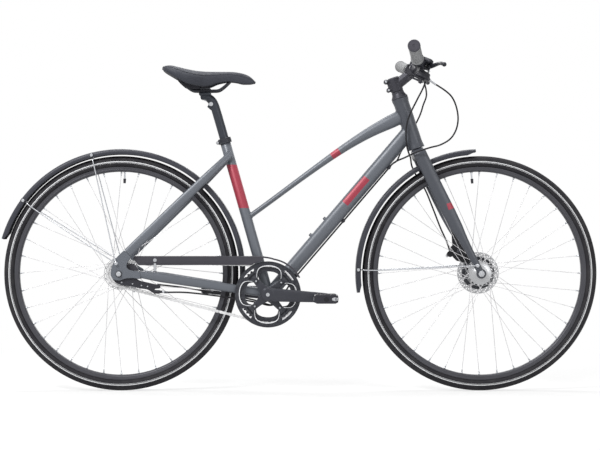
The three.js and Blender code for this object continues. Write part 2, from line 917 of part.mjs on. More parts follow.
function gripSolid(side) {
  const length = gripLength;
  const bore = barRadius + 3 * touch;
  const profile = [
    [bore, 0],
    [gripRadius + 2, 0],
    [gripRadius + 2, 5],
    [gripRadius, 7],
    [gripRadius, length * 0.5],
    [gripRadius, length - 9],
    [gripRadius + 1, length - 8],
    [gripRadius + 1, length - 2],
    [gripRadius - 3, length],
    [0, length],
    [0, length - 3],
    [bore, length - 3],
  ];
  const points = profile.map(([radius, y]) => new THREE.Vector2(radius, y));
  points.push(points[0].clone());
  const body = solid(new THREE.LatheGeometry(points, 12));
  const start = barTip.clone().addScaledVector(barOut, 3 + touch - length);
  return placed(body, at(start.x, side * start.y, start.z), at(barOut.x, side * barOut.y, barOut.z));
}

const perchPlace = 158;
const pivotOut = -12;
const pivotForward = 33;
const pivotPinRadius = 2.5;
const leverBossHeight = 12;
const adjusterEnd = [-36, 26, 0];

function perch(side) {
  const frame = barFrame(side, perchPlace);
  const clamp = rod(inFrame(frame, -7, 0, 0), inFrame(frame, 7, 0, 0), barRadius + 5.5, 12);
  const neck = taperedSlab(frame, [-20, 6], [8, pivotForward - 9], 9);
  const ears = [-1, 1].map((up) =>
    slab(frame, [pivotOut - 8, pivotOut + 8], [pivotForward - 14, pivotForward + 7], [
      up * (leverBossHeight / 2 + touch),
      up * (leverBossHeight / 2 + 3.5),
    ]),
  );
  const pin = rod(
    inFrame(frame, pivotOut, pivotForward, -leverBossHeight / 2 - 3),
    inFrame(frame, pivotOut, pivotForward, leverBossHeight / 2 + 3),
    pivotPinRadius,
    8,
  );
  const adjuster = rod(inFrame(frame, -14, 20, 0), inFrame(frame, ...adjusterEnd), 5, 8, 3.8);
  const bolt = rod(inFrame(frame, 0, -17, -9), inFrame(frame, 0, -17, 6), 3.5, 8);
  const lug = rod(inFrame(frame, 0, -10, -2), inFrame(frame, 0, -19, -2), 5, 8);
  const bore = rod(inFrame(frame, -60, 0, 0), inFrame(frame, 30, 0, 0), barRadius + 1, 12);
  const pieces = [clamp, neck, ...ears, pin, adjuster, bolt, lug];
  if (side < 0) pieces.push(...shifterPod());
  return cut(join(...pieces), bore);
}

// A block between ranges along the bar, towards the lever and across.
function slab(frame, [out0, out1], [forward0, forward1], [up0, up1]) {
  const size = at(out1 - out0, Math.abs(up1 - up0), forward1 - forward0);
  const body = solid(new THREE.BoxGeometry(size.x, size.y, size.z));
  const middle = inFrame(frame, (out0 + out1) / 2, (forward0 + forward1) / 2, (up0 + up1) / 2);
  return placed(body, middle, frame.turn, frame.out);
}

function taperedSlab(frame, outRange, forwardRange, halfHeight) {
  return slab(frame, outRange, forwardRange, [-halfHeight, halfHeight]);
}

// Lever blade: outward along the bar and forward of it, from the pivot to the tip.
const leverRun = [
  [pivotOut, pivotForward],
  [6, 46],
  [34, 62],
  [72, 73],
  [104, 81],
  [124, 92],
];

function brakeLever(side) {
  const frame = barFrame(side, perchPlace);
  const blade = wire(leverRun.map(([out, forward]) => inFrame(frame, out, forward, 0)), 4.6, 6, 8);
  const boss = rod(
    inFrame(frame, pivotOut, pivotForward, -leverBossHeight / 2),
    inFrame(frame, pivotOut, pivotForward, leverBossHeight / 2),
    6.5,
    10,
  );
  const end = ball(inFrame(frame, 124, 92, 0), 6.5);
  const bore = rod(
    inFrame(frame, pivotOut, pivotForward, -12),
    inFrame(frame, pivotOut, pivotForward, 12),
    pivotPinRadius + running,
    8,
  );
  return cut(join(blade, boss, end), bore);
}

const shifterFrame = barFrame(-1, perchPlace - 26);
const podForward = 27;
const podTop = -14;
const podBottom = -34;
const podRadius = 22;
const leverPostRadius = 5;
const nozzleEnd = [-30, podForward + 22, podBottom + 10];

function shifterPod() {
  const pod = rod(
    inFrame(shifterFrame, 0, podForward, podBottom),
    inFrame(shifterFrame, 0, podForward, podTop),
    podRadius,
    14,
    podRadius - 4,
  );
  const post = rod(
    inFrame(shifterFrame, 0, podForward, podBottom - 16),
    inFrame(shifterFrame, 0, podForward, podBottom + 1),
    leverPostRadius,
    10,
  );
  const arm = slab(shifterFrame, [-4, 24], [13, 24], [podTop - 6, podTop + 10]);
  const nozzle = rod(
    inFrame(shifterFrame, -16, podForward + 8, podBottom + 10),
    inFrame(shifterFrame, ...nozzleEnd),
    5,
    8,
    4,
  );
  return [pod, post, arm, nozzle];
}

function shiftLever(top, reach, width, padHeight, out) {
  const bottom = top - 4;
  const arm = slab(shifterFrame, [-width / 2, width / 2], [podForward - reach, podForward + 8], [bottom, top]);
  const padPlace = podForward - reach;
  const pad = slab(shifterFrame, [-width / 2, width / 2], [padPlace - 5, padPlace], [bottom, top + padHeight]);
  const down = slab(shifterFrame, [-width / 2, width / 2], [padPlace - 5, padPlace], [bottom - out, top]);
  const bore = rod(
    inFrame(shifterFrame, 0, podForward, top - 30),
    inFrame(shifterFrame, 0, podForward, top + 30),
    leverPostRadius + running,
    10,
  );
  return cut(join(arm, pad, down), bore);
}

function frontAxleSolid() {
  const nut = 58 + touch;
  return join(
    crossRod(0, 0, -nut - axleNutWidth - 2, nut + axleNutWidth + 2, axleRadius, 12),
    crossRod(0, 0, nut, nut + axleNutWidth, axleNutRadius, 6),
    crossRod(0, 0, -nut, -nut - axleNutWidth, axleNutRadius, 6),
  );
}

function rearAxleSolid() {
  const nut = dropoutOutside + touch;
  return join(
    crossRod(0, 0, -nut - axleNutWidth - 3, nut + axleNutWidth + 3, axleRadius, 12),
    crossRod(0, 0, nut, nut + axleNutWidth, axleNutRadius, 6),
    crossRod(0, 0, -nut, -nut - axleNutWidth, axleNutRadius, 6),
  );
}

// Wheels, built round their own axle

function tyre() {
  const half = tyreWidth / 2;
  const middle = tyreRadius - half;
  const seat = rimSeatRadius + touch;
  const bead = rimWidth / 2 - 1;
  const profile = [[seat, -bead]];
  for (const degrees of [-90, -45, 0, 45, 90]) {
    const angle = THREE.MathUtils.degToRad(degrees);
    profile.push([Math.max(middle + half * Math.cos(angle), seat + 2), half * Math.sin(angle)]);
  }
  profile.push([seat, bead]);
  return turned(profile, wheelSegments);
}

function rim() {
  const half = rimWidth / 2;
  const profile = [
    [rimInnerRadius, 0],
    [rimInnerRadius + 6, -half],
    [rimSeatRadius, -half],
    [rimSeatRadius, half],
    [rimInnerRadius + 6, half],
  ];
  const valve = rod(
    polar(at(0, 0, 0), rimInnerRadius - valveLength, valveAngle),
    polar(at(0, 0, 0), rimInnerRadius + 4, valveAngle),
    2.8,
    6,
    3.6,
  );
  return join(turned(profile, wheelSegments), valve);
}

function hub(flangeRadius, halfFlange, halfWidth, bodyRadius) {
  const bore = axleRadius + running;
  const thick = hubFlangeThickness;
  const end = bore + 7;
  const profile = [
    [bore, -halfWidth],
    [end, -halfWidth],
    [end, -halfFlange - thick],
    [flangeRadius, -halfFlange - thick],
    [flangeRadius, -halfFlange],
    [bodyRadius, -halfFlange + 4],
    [bodyRadius, halfFlange - 4],
    [flangeRadius, halfFlange],
    [flangeRadius, halfFlange + thick],
    [end, halfFlange + thick],
    [end, halfWidth],
    [bore, halfWidth],
  ];
  return join(turned(profile, 20), ...spokes(flangeRadius, halfFlange + thick / 2));
}

// Spokes leave the flange forwards and backwards in turn, and cross their neighbours.
function spokes(flangeRadius, flangeY) {
  const perSide = spokeCount / 2;
  const hubStep = 360 / perSide;
  const crossing = spokeCross * hubStep;
  const start = at(0, 0, 0);
  return [-1, 1].flatMap((side) =>
    Array.from({ length: perSide }, (unused, i) => {
      const sense = i % 2 ? 1 : -1;
      const hubAngle = i * hubStep + (side > 0 ? hubStep / 2 : 0);
      const rimAngle = hubAngle + sense * crossing;
      const stagger = sense * 1.1;
      return rod(
        polar(start, flangeRadius - 3, hubAngle, side * flangeY + stagger),
        polar(start, rimInnerRadius - touch - 1, rimAngle, side * 3 + stagger),
        spokeRadius,
        3,
      );
    }),
  );
}

function brakeDisc() {
  const circle = (radius, segments) =>
    Array.from({ length: segments }, (unused, i) => polar(at(0, 0, 0), radius, (i * 360) / segments));
  const outer = polygon(circle(discRadius, 30).map((p) => [p.x, p.z]));
  const blank = plate(outer, discOffset - discThickness / 2, discOffset + discThickness / 2);
  const step = 360 / discWindows;
  const windows = Array.from({ length: discWindows }, (unused, i) => {
    const corner = (radius, share) => polar(at(0, 0, 0), radius, (i + share) * step);
    const corners = [corner(27, 0.2), corner(42, 0.05), corner(43.5, 0.4), corner(42, 0.7), corner(27, 0.75)];
    return plate(polygon(corners.map((p) => [p.x, p.z])), discOffset - 5, discOffset + 5);
  });
  const bore = crossRod(0, 0, discOffset - 5, discOffset + 5, axleRadius + running + 7 + 2 * touch, 16);
  return cut(blank, bore, ...windows);
}

// Chain drive

// Outline of a sprocket: root and tip on both flanks of every tooth, with a gap centred on the start angle.
function sprocketShape(teeth, startAngle) {
  const radius = pitchRadius(teeth);
  const root = radius - chainPlateHeight / 2 - 0.5;
  const tip = radius + 3.4;
  const rootHalf = 2.5 / root;
  const tipHalf = 0.8 / tip;
  const step = (2 * Math.PI) / teeth;
  const points = [];
  for (let i = 0; i < teeth; i++) {
    const middle = startAngle + (i + 0.5) * step;
    for (const [r, angle] of [
      [root, middle - rootHalf],
      [tip, middle - tipHalf],
      [tip, middle + tipHalf],
      [root, middle + rootHalf],
    ]) {
      points.push([r * Math.cos(angle), r * Math.sin(angle)]);
    }
  }
  return polygon(points);
}

// Four lobes that reach reach, drawn in at the diagonals to waist, turned with the crank.
function cloverPoints(reach, halfWidth, waist, tilt) {
  const points = [];
  for (let quarter = 0; quarter < 4; quarter++) {
    const turn = (quarter * Math.PI) / 2 + tilt;
    const lobe = [
      [waist * Math.SQRT1_2, -waist * Math.SQRT1_2],
      [reach * 0.62, -halfWidth * 0.98],
      [reach * 0.86, -halfWidth * 0.9],
      [reach * 0.97, -halfWidth * 0.5],
      [reach, 0],
      [reach * 0.97, halfWidth * 0.5],
      [reach * 0.86, halfWidth * 0.9],
      [reach * 0.62, halfWidth * 0.98],
    ];
    for (const [x, z] of lobe) {
      points.push([x * Math.cos(turn) - z * Math.sin(turn), x * Math.sin(turn) + z * Math.cos(turn)]);
    }
  }
  return points;
}

const chainDirection = bottomBracket.clone().sub(rearAxle).normalize();
const chainLean = Math.asin((ringRadius - cogRadius) / chainstayLength);
const lineAngle = Math.atan2(chainDirection.z, chainDirection.x);
const upperAngle = lineAngle + Math.PI / 2 + chainLean;
const lowerAngle = lineAngle - Math.PI / 2 - chainLean;

function onCircle(centre, radius, angle) {
  return at(centre.x + radius * Math.cos(angle), 0, centre.z + radius * Math.sin(angle));
}

// Where a pin lies, so many pitches after the upper end of the ring's arc.
function chainPoint(pitches) {
  const ringPart = (ringTeeth * (Math.PI + 2 * chainLean)) / (2 * Math.PI);
  const straight = (chainstayLength * Math.cos(chainLean)) / chainPitch;
  const cogPart = (cogTeeth * (Math.PI - 2 * chainLean)) / (2 * Math.PI);
  if (pitches < ringPart) {
    return onCircle(bottomBracket, ringRadius, upperAngle - (pitches * 2 * Math.PI) / ringTeeth);
  }
  if (pitches < ringPart + straight) {
    const share = (pitches - ringPart) / straight;
    const from = onCircle(bottomBracket, ringRadius, lowerAngle);
    return from.lerp(onCircle(rearAxle, cogRadius, lowerAngle), share);
  }
  if (pitches < ringPart + straight + cogPart) {
    const turned = ((pitches - ringPart - straight) * 2 * Math.PI) / cogTeeth;
    return onCircle(rearAxle, cogRadius, lowerAngle - turned);
  }
  const share = (pitches - ringPart - straight - cogPart) / straight;
  return onCircle(rearAxle, cogRadius, upperAngle).lerp(onCircle(bottomBracket, ringRadius, upperAngle), share);
}

// The first pin on the cog's arc, in pitches, sets where the cog's gaps lie.
function cogStartAngle() {
  const ringPart = (ringTeeth * (Math.PI + 2 * chainLean)) / (2 * Math.PI);
  const straight = (chainstayLength * Math.cos(chainLean)) / chainPitch;
  const first = Math.ceil(ringPart + straight);
  return lowerAngle - ((first - ringPart - straight) * 2 * Math.PI) / cogTeeth;
}

// A ladder of links: two plates a side, wider apart on every other link, and a roller block at each pin.
function chain() {
  const rows = [];
  for (let i = 0; i < chainLinks; i++) {
    const pin = chainPoint(i);
    const before = chainPoint((i + chainLinks - 1) % chainLinks);
    const after = chainPoint((i + 1) % chainLinks);
    rows.push(chainRow(pin, before, i % 2 ? 0 : 1), chainRow(pin, after, i % 2));
  }
  rows.forEach((row, i) => {
    if (i % 2 === 0) row.up.negate();
  });
  const vertices = [];
  for (const { centre, up, outward } of rows) {
    for (const side of [1, -1]) {
      const inner = -chainLine + (side * chainInnerWidth) / 2;
      const outer = inner + side * (chainPlateThickness + outward);
      vertices.push(
        centre.clone().add(up).setY(inner),
        centre.clone().sub(up).setY(inner),
        centre.clone().sub(up).setY(outer),
        centre.clone().add(up).setY(outer),
      );
    }
  }
  const triangles = [];
  const quad = (a, b, c, d) => triangles.push(a, b, c, a, c, d);
  const corner = (row, side, place) => (row % rows.length) * 8 + side * 4 + place;
  for (let row = 0; row < rows.length; row++) {
    const roller = row % 2 === 0;
    for (let place = 0; place < 4; place++) {
      const next = (place + 1) % 4;
      if (roller && place === 0) continue;
      quad(corner(row, 0, place), corner(row, 0, next), corner(row + 1, 0, next), corner(row + 1, 0, place));
      quad(corner(row, 1, place), corner(row + 1, 1, place), corner(row + 1, 1, next), corner(row, 1, next));
    }
    if (!roller) continue;
    const loop = [
      [row, 0],
      [row, 1],
      [row + 1, 1],
      [row + 1, 0],
    ];
    loop.forEach(([atRow, place], i) => {
      const [nextRow, nextPlace] = loop[(i + 1) % 4];
      const [p, q] = [corner(atRow, 0, place), corner(nextRow, 0, nextPlace)];
      quad(p, q, q + 4, p + 4);
    });
  }
  const geometry = new THREE.BufferGeometry();
  geometry.setAttribute(
    "position",
    new THREE.Float32BufferAttribute(vertices.flatMap((v) => [v.x, v.y, v.z]), 3),
  );
  geometry.setIndex(triangles);
  return solid(geometry);
}

// The edge of a roller block towards the next pin: its middle, half its height and how far its plate stands out.
function chainRow(pin, towards, outer) {
  const along = towards.clone().sub(pin).normalize();
  return {
    centre: pin.clone().addScaledVector(along, rollerHalfLength),
    up: at(-along.z, 0, along.x).multiplyScalar(chainPlateHeight / 2),
    outward: outer * chainPlateThickness * 0.8,
  };
}

// Crankset, built round the bottom bracket with the right crank level forward

function chainring() {
  const shape = sprocketShape(ringTeeth, upperAngle);
  shape.holes.push(new THREE.Path(cloverPoints(68, 34, 45, -crankTilt).map(([x, z]) => new THREE.Vector2(x, z))));
  const half = sprocketThickness / 2;
  return plate(shape, -chainLine - half, -chainLine + half);
}

const spiderInside = chainLine + sprocketThickness / 2 + touch;
const spiderThickness = 3.6;
const guardInside = spiderInside + spiderThickness + touch;

function guardDisc() {
  const circle = Array.from({ length: 44 }, (unused, i) => polar(at(0, 0, 0), guardRadius, (i * 360) / 44));
  const shape = polygon(circle.map((p) => [p.x, p.z]));
  const hole = cloverPoints(guardRadius - guardRimWidth, 37, 44, -crankTilt);
  shape.holes.push(new THREE.Path(hole.map(([x, z]) => new THREE.Vector2(x, z))));
  const disc = plate(shape, -guardInside, -guardInside - guardThickness);
  const slots = [];
  const heads = [];
  for (let quarter = 0; quarter < 4; quarter++) {
    const middle = quarter * 90 + 45 - THREE.MathUtils.radToDeg(crankTilt);
    for (const [inner, outer, spread] of [
      [80.5, 85.5, 12],
      [70, 73.5, 10],
    ]) {
      const corners = [
        polar(at(0, 0, 0), inner, middle - spread),
        polar(at(0, 0, 0), outer, middle - spread),
        polar(at(0, 0, 0), outer + 0.7, middle),
        polar(at(0, 0, 0), outer, middle + spread),
        polar(at(0, 0, 0), inner, middle + spread),
        polar(at(0, 0, 0), inner + 0.7, middle),
      ];
      slots.push(plate(polygon(corners.map((p) => [p.x, p.z])), -guardInside + 3, -guardInside - guardThickness - 3));
    }
    const bolt = polar(at(0, 0, 0), boltCircleRadius, middle);
    heads.push(crossRod(bolt.x, bolt.z, -guardInside - 1, -guardInside - guardThickness - 2, 4.5, 8));
  }
  return join(cut(disc, ...slots), ...heads);
}

function crankArm(side) {
  const near = side * crankInside;
  const far = side * (crankInside + crankThickness);
  const out = side < 0 ? 1 : -1;
  const tilt = -crankTilt;
  const turn = ([x, z]) => [
    out * (x * Math.cos(tilt) - z * Math.sin(tilt)),
    out * (x * Math.sin(tilt) + z * Math.cos(tilt)),
  ];
  const outline = [];
  for (const degrees of [100, 140, 180, 220, 260]) {
    const p = polar(at(0, 0, 0), 19, degrees);
    outline.push([p.x, p.z]);
  }
  outline.push([30, -14], [crankLength - 30, -11]);
  for (const degrees of [-80, -40, 0, 40, 80]) {
    const p = polar(at(crankLength, 0, 0), 13.5, degrees);
    outline.push([p.x, p.z]);
  }
  outline.push([crankLength - 30, 11], [30, 14]);
  const arm = plate(polygon(outline.map(turn)), near, far);
  const [pedalX, pedalZ] = turn([crankLength, 0]);
  const spindle = crossRod(pedalX, pedalZ, far - side, far + side * (pedalWidth - 8), pedalSpindleRadius, 12);
  return join(arm, spindle);
}

function crankRight() {
  const arms = [0, 1, 2, 3].map((quarter) => {
    const degrees = quarter * 90 + 45 - THREE.MathUtils.radToDeg(crankTilt);
    const from = polar(at(0, 0, 0), 8, degrees);
    const to = polar(at(0, 0, 0), boltCircleRadius + 6, degrees);
    const across = at(-(to.z - from.z), 0, to.x - from.x).normalize();
    const corners = [
      from.clone().addScaledVector(across, 17),
      to.clone().addScaledVector(across, 8),
      to.clone().addScaledVector(across, -8),
      from.clone().addScaledVector(across, -17),
    ];
    return plate(polygon(corners.map((p) => [p.x, p.z])), -spiderInside, -spiderInside - spiderThickness);
  });
  const boss = crossRod(0, 0, -38.5, -crankInside - crankThickness - 1, 19, 16);
  const axle = crossRod(0, 0, -40, crankInside + 4, crankAxleRadius, 16);
  const bolt = crossRod(0, 0, -crankInside - crankThickness, -crankInside - crankThickness - 3, 6.5, 8);
  return join(crankArm(-1), ...arms, boss, axle, bolt);
}

function crankLeft() {
  const boss = crossRod(0, 0, 40, crankInside + crankThickness + 1, 17, 16);
  const bore = crossRod(0, 0, 30, crankInside + 4 + touch, crankAxleRadius + touch, 16);
  return cut(join(crankArm(1), boss), bore);
}

// A pedal, built round its own spindle: a barrel in a rounded cage with two windows.
function pedal(side) {
  const start = side * 3;
  const end = side * pedalWidth;
  const half = pedalLength / 2;
  const outline = polygon([
    [-half + 6, -pedalHeight / 2],
    [half - 6, -pedalHeight / 2],
    [half, -pedalHeight / 2 + 7],
    [half, pedalHeight / 2 - 7],
    [half - 6, pedalHeight / 2],
    [-half + 6, pedalHeight / 2],
    [-half, pedalHeight / 2 - 7],
    [-half, -pedalHeight / 2 + 7],
  ]);
  const body = plate(outline, start, end);
  const windows = [-1, 1].map((front) =>
    box(at(front * 12, side * 14, -40), at(front * (half - 7), side * (pedalWidth - 10), 40)),
  );
  const bore = crossRod(0, 0, side * -5, side * (pedalWidth - 8 + touch), pedalSpindleRadius + running, 12);
  return cut(body, ...windows, bore);
}

function cog() {
  const half = sprocketThickness / 2;
  const gear = plate(sprocketShape(cogTeeth, cogStartAngle()), -chainLine - half, -chainLine + half);
  const driver = crossRod(0, 0, -rearHubHalfWidth - touch, -chainLine - 7, 20, 16);
  const bore = crossRod(0, 0, -30, -80, axleRadius + running, 12);
  return cut(join(gear, driver), bore);
}

// Cable joint at the hub: a fixed arm with the cable stop, and a pulley that the cable turns.
const pulleyInside = chainLine + 7 + running;
const pulleyThickness = 5;
const jointInside = pulleyInside + pulleyThickness + running;

function shiftPulley() {
  const disc = crossRod(0, 0, -pulleyInside, -pulleyInside - pulleyThickness, 22, 16);
  const anchor = plate(
    polygon([
      [-6, -18],
      [6, -18],
      [5, -27],
      [-5, -27],
    ]),
    -pulleyInside,
    -pulleyInside - pulleyThickness,
  );
  return cut(join(disc, anchor), crossRod(0, 0, -40, -80, axleRadius + running, 12));
}

function shiftJointArm() {
  const near = -jointInside;
  const far = -dropoutInside + touch;
  const arm = plate(
    polygon([
      [-8, 15],
      [10, 13],
      [60, -20],
      [118, -33],
      [124, -36],
      [124, -50],
      [112, -51],
      [56, -38],
      [14, -17],
      [-8, -15],
      [-17, -8],
      [-17, 8],
    ]),
    near,
    far,
  );
  const stop = rod(at(100, (near + far) / 2, -51), at(132, (near + far) / 2, -52), 4.6, 8);
  return cut(join(arm, stop), crossRod(0, 0, -40, -80, axleRadius + touch, 12));
}

// Rear brake on the left: a drum housing with its torque arm, and the arm that the cable pulls.
const rearBrakeInside = rearHubHalfWidth + 1;
const rearBrakeFace = 60;
const rearBrakePivot = [26, -22];

function rearBrake() {
  const bore = axleRadius + touch;
  const profile = [
    [2, rearBrakeInside],
    [46, rearBrakeInside],
    [47, rearBrakeInside + 4],
    [44, rearBrakeFace - 4],
    [38, rearBrakeFace],
    [2, rearBrakeFace],
  ];
  const armFace = rearBrakeInside + 11;
  const torqueArm = plate(
    polygon([
      [-14, -12],
      [-14, 12],
      [12, 16],
      [92, -4],
      [92, -15],
      [12, -12],
    ]),
    armFace,
    armFace + 4,
  );
  const [x, z] = rearBrakePivot;
  const post = crossRod(x, z, rearBrakeFace - 2, rearBrakeFace + 5, 3, 10);
  const bored = crossRod(0, 0, rearBrakeInside - 5, rearBrakeFace + 10, bore, 12);
  return join(cut(join(turned(profile, 20), torqueArm), bored), post);
}

function rearBrakeArm() {
  const arm = plate(
    polygon([
      [-7, -4],
      [0, 7],
      [7, 4],
      [12, -30],
      [8, -38],
      [1, -37],
      [-3, -28],
    ]),
    rearBrakeFace + running,
    rearBrakeFace + running + 3.6,
  );
  return cut(arm, crossRod(0, 0, 40, 90, 3 + running, 10));
}

// Front caliper, straddling the disc behind the left blade. Places are from the front axle.
const caliperAngle = 127.5;
const caliperInner = 47;
const caliperOuter = 122;
const frontBrakePivot = polar(at(0, 0, 0), 101, 146);

function frontCaliper() {
  const along = polar(at(0, 0, 0), 1, caliperAngle);
  const across = at(-along.z, 0, along.x);
  const corner = (r, side) => {
    const p = along.clone().multiplyScalar(r).addScaledVector(across, side);
    return [p.x, p.z];
  };
  const outline = [
    corner(caliperInner, -13),
    corner(caliperOuter - 8, -16),
    corner(caliperOuter, -8),
    corner(caliperOuter, 8),
    corner(caliperOuter - 14, 24),
    corner(caliperOuter - 26, 33),
    corner(caliperInner + 30, 24),
    corner(caliperInner, 12),
  ];
  const body = plate(polygon(outline), discOffset - 9, caliperFace);
  const slot = crossRod(0, 0, discOffset - discThickness / 2 - 1.2, discOffset + discThickness / 2 + 1.2, discRadius + 2, 32);
  const post = crossRod(frontBrakePivot.x, frontBrakePivot.z, discOffset + 4, caliperFace + 6, 3.2, 10);
  const boss = crossRod(frontBrakePivot.x, frontBrakePivot.z, discOffset - 9, caliperFace, 9, 12);
  return cut(join(body, post, boss), slot);
}

function frontBrakeArm() {
  const from = caliperFace + running;
  const arm = plate(
    polygon([
      [-2, -6.5],
      [6, -4],
      [6, 4],
      [-2, 6.5],
      [-14, 1],
      [-18, -8],
      [-13, -12],
    ]),
    from,
    from + 4,
  );
  return cut(arm, crossRod(0, 0, 20, 80, 3.2 + running, 10));
}

// Fenders

// A fender from one end to the other, with a section just where the frame holds it.
function fender([from, held, to], step, halfWidthAt) {
  const angles = [from];
  for (const end of [held, to]) {
    const start = angles.at(-1);
    const steps = Math.ceil((end - start) / step);
    for (let i = 1; i <= steps; i++) angles.push(THREE.MathUtils.lerp(start, end, i / steps));
  }
  const rows = angles.map((degrees) => {
    const half = halfWidthAt(degrees);
    const inside = fenderRadius - fenderThickness;
    const low = fenderRadius - fenderSkirt;
    const outline = [
      [low, -half],
      [fenderRadius - 5, -half],
      [fenderRadius, -half * 0.62],
      [fenderRadius, half * 0.62],
      [fenderRadius - 5, half],
      [low, half],
      [low, half - fenderThickness],
      [inside - 5, half - fenderThickness],
      [inside, half * 0.56],
      [inside, -half * 0.56],
      [inside - 5, -half + fenderThickness],
      [low, -half + fenderThickness],
    ];
    return outline.map(([radius, y]) => polar(at(0, 0, 0), radius, degrees, y));
  });
  return loft(rows);
}

const rearFenderPlaces = [-6, 47.06, 163.7];
const frontFenderPlaces = [92, 117.47, 189];

function rearFender() {
  return fender(rearFenderPlaces, 8.4, (degrees) => (degrees < 8 ? 19.5 : fenderHalfWidth));
}

function frontFender() {
  return fender(frontFenderPlaces, 8.6, () => fenderHalfWidth);
}

// One wire from the eyelet on the left, under the fender and back to the eyelet on the right.
function stayLoop(eyelet, degrees) {
  const skirt = fenderRadius - fenderSkirt;
  const outside = fenderHalfWidth + touch + stayRadius;
  const half = [
    eyelet,
    eyelet.clone().lerp(polar(at(0, 0, 0), skirt - 30, degrees, outside), 0.12).setY(eyelet.y - 0.5),
    polar(at(0, 0, 0), skirt - 40, degrees, outside + 3),
    polar(at(0, 0, 0), skirt - 5, degrees, outside - 2),
    polar(at(0, 0, 0), skirt - 4, degrees, 19),
    polar(at(0, 0, 0), skirt + 3, degrees, 12),
    polar(at(0, 0, 0), skirt + 9.3, degrees, 4),
  ];
  return wire([...half, ...mirrored(half).reverse()], stayRadius, 4, 24);
}

function eyeletPlates(eyelet) {
  return [-1, 1].map((side) => crossRod(eyelet.x, eyelet.z, side * (eyelet.y - 2.2), side * (eyelet.y + 2.5), 5, 8));
}

const rearEyelet = at(-8, dropoutOutside + touch + 2.2, 31);
const frontEyelet = at(-12, 66.2, 24);
const rearStayAngles = [103.8, 143.2];
const frontStayAngle = 178.3;

function rearFenderStays() {
  return join(...rearStayAngles.map((degrees) => stayLoop(rearEyelet, degrees)), ...eyeletPlates(rearEyelet));
}

function frontFenderStays() {
  return join(stayLoop(frontEyelet, frontStayAngle), ...eyeletPlates(frontEyelet));
}

// Upper chain cover: a long plate with a lip over the chain, a hoop round the guard and a bracket to the chainstay.
const coverInside = 57;
const coverThickness = 2;
const coverTop = 401;
const coverBottom = 374;
const coverRear = -492;
const bracketPlace = -428;

function chainCover() {
  const front = bottomBracket.x - 12;
  const side = polygon([
    [coverRear + 16, coverBottom],
    [front, coverBottom + 2],
    [front, coverTop],
    [coverRear, coverTop],
    [coverRear, coverTop - 6],
  ]);
  const wall = plate(side, -coverInside, -coverInside - coverThickness);
  const lip = box(
    at(coverRear + 4, -coverInside - coverThickness, coverTop - coverThickness),
    at(front, -chainLine + 6, coverTop),
  );
  const hoopRows = Array.from({ length: 13 }, (unused, i) => {
    const degrees = THREE.MathUtils.lerp(97, 28, i / 12);
    const outer = guardRadius + 10;
    const drawn = THREE.MathUtils.lerp(coverTop - bottomBracket.z - outer, 0, Math.min(1, i / 3));
    return [
      [outer - 2.4 + drawn, -coverInside - coverThickness],
      [outer + drawn, -coverInside - coverThickness],
      [outer + drawn, -coverInside + 8],
      [outer - 2.4 + drawn, -coverInside + 8],
    ].map(([radius, y]) => polar(bottomBracket, radius, degrees, y));
  });
  const stayTop = chainstayPoint([bracketPlace, 0]).z + 14.2;
  const strap = box(
    at(bracketPlace - 4, -coverInside - coverThickness, stayTop + touch),
    at(bracketPlace + 4, -coverInside, coverBottom + 4),
  );
  const foot = box(
    at(bracketPlace - 5, -coverInside - coverThickness - 2, stayTop + touch),
    at(bracketPlace + 5, -coverInside + 2, stayTop + touch + 2),
  );
  const nut = crossRod(bracketPlace, 389, -coverInside - 1, -coverInside - coverThickness - 2, 5, 6);
  return join(wall, lip, loft(hoopRows), strap, foot, nut);
}

// Cables

// The cables run straight through each clip on the down tube.
function throughClips(y) {
  return cableClipPlaces.toReversed().flatMap((place) =>
    [14, -14].map((offset) => downTubePoint(place + offset, -downTubeHalfDepth - cableDrop, y)),
  );
}

// A place on the bar, out along it, towards the lever and up, as a place on the bicycle.
function barPlace(frame, ...place) {
  const { x, y, z } = inFrame(frame, ...place);
  return steerPoint(x, y, z);
}

function leverCableStart(side) {
  const frame = barFrame(side, perchPlace);
  const [out, forward] = adjusterEnd;
  return [barPlace(frame, out - 0.5, forward + 0.2, 0), barPlace(frame, out - 12, forward + 4, 0)];
}

// Front brake: from the right lever, beside the head tube, behind the crown and down behind the left blade.
const frontBrakeCableRun = [
  ...leverCableStart(-1),
  ...listed([
    [362, -84, 900],
    [343, -56, 860],
    [322, -38, 815],
    [314, -33, 785],
    [313, -30, 750],
    [317, -24, 720],
    [328, -4, 692],
    [334, 24, 668],
    [345, 42, 640],
    [369, 57, 602],
    [400, 64, 527],
    [417, 64, 482],
    [432, 56, 445],
    [436, 47, 418],
  ]),
];

// Rear brake: from the left lever, past the left of the head tube and along the down tube to the rear brake.
const rearBrakeCableRun = [
  ...leverCableStart(1),
  ...listed([
    [387, 83, 887],
    [373, 66, 855],
    [360, 55, 823],
    [330, 48, 765],
  ]),
  downTubePoint(578, -22, 29),
  downTubePoint(550, -29, 13),
  ...throughClips(cableSpread),
  ...listed([
    [-80, 9, 256],
    [-130, 30, 266],
    [-190, 44, 278],
    [-260, 49, 288],
    [-370, 62, 300],
    [-440, 62, 303],
    [-470, 62, 300],
  ]),
];

// Gear: a wide loop from the right shifter round the crown to the down tube, then under the right chainstay.
const gearCableRun = [
  ...shifterCableStart(),
  ...listed([
    [444, -78, 868],
    [463, -64, 817],
    [460, -58, 778],
    [443, -58, 748],
    [413, -62, 726],
    [381, -68, 714],
    [344, -68, 699],
    [307, -40, 684],
  ]),
  downTubePoint(548, -29, -14),
  ...throughClips(-cableSpread),
  ...listed([
    [-80, -9, 256],
    [-130, -30, 264],
    [-190, -36, 275],
    [-260, -42, 285],
    [-340, -55, 296],
    [-399, -62.6, 297],
  ]),
];

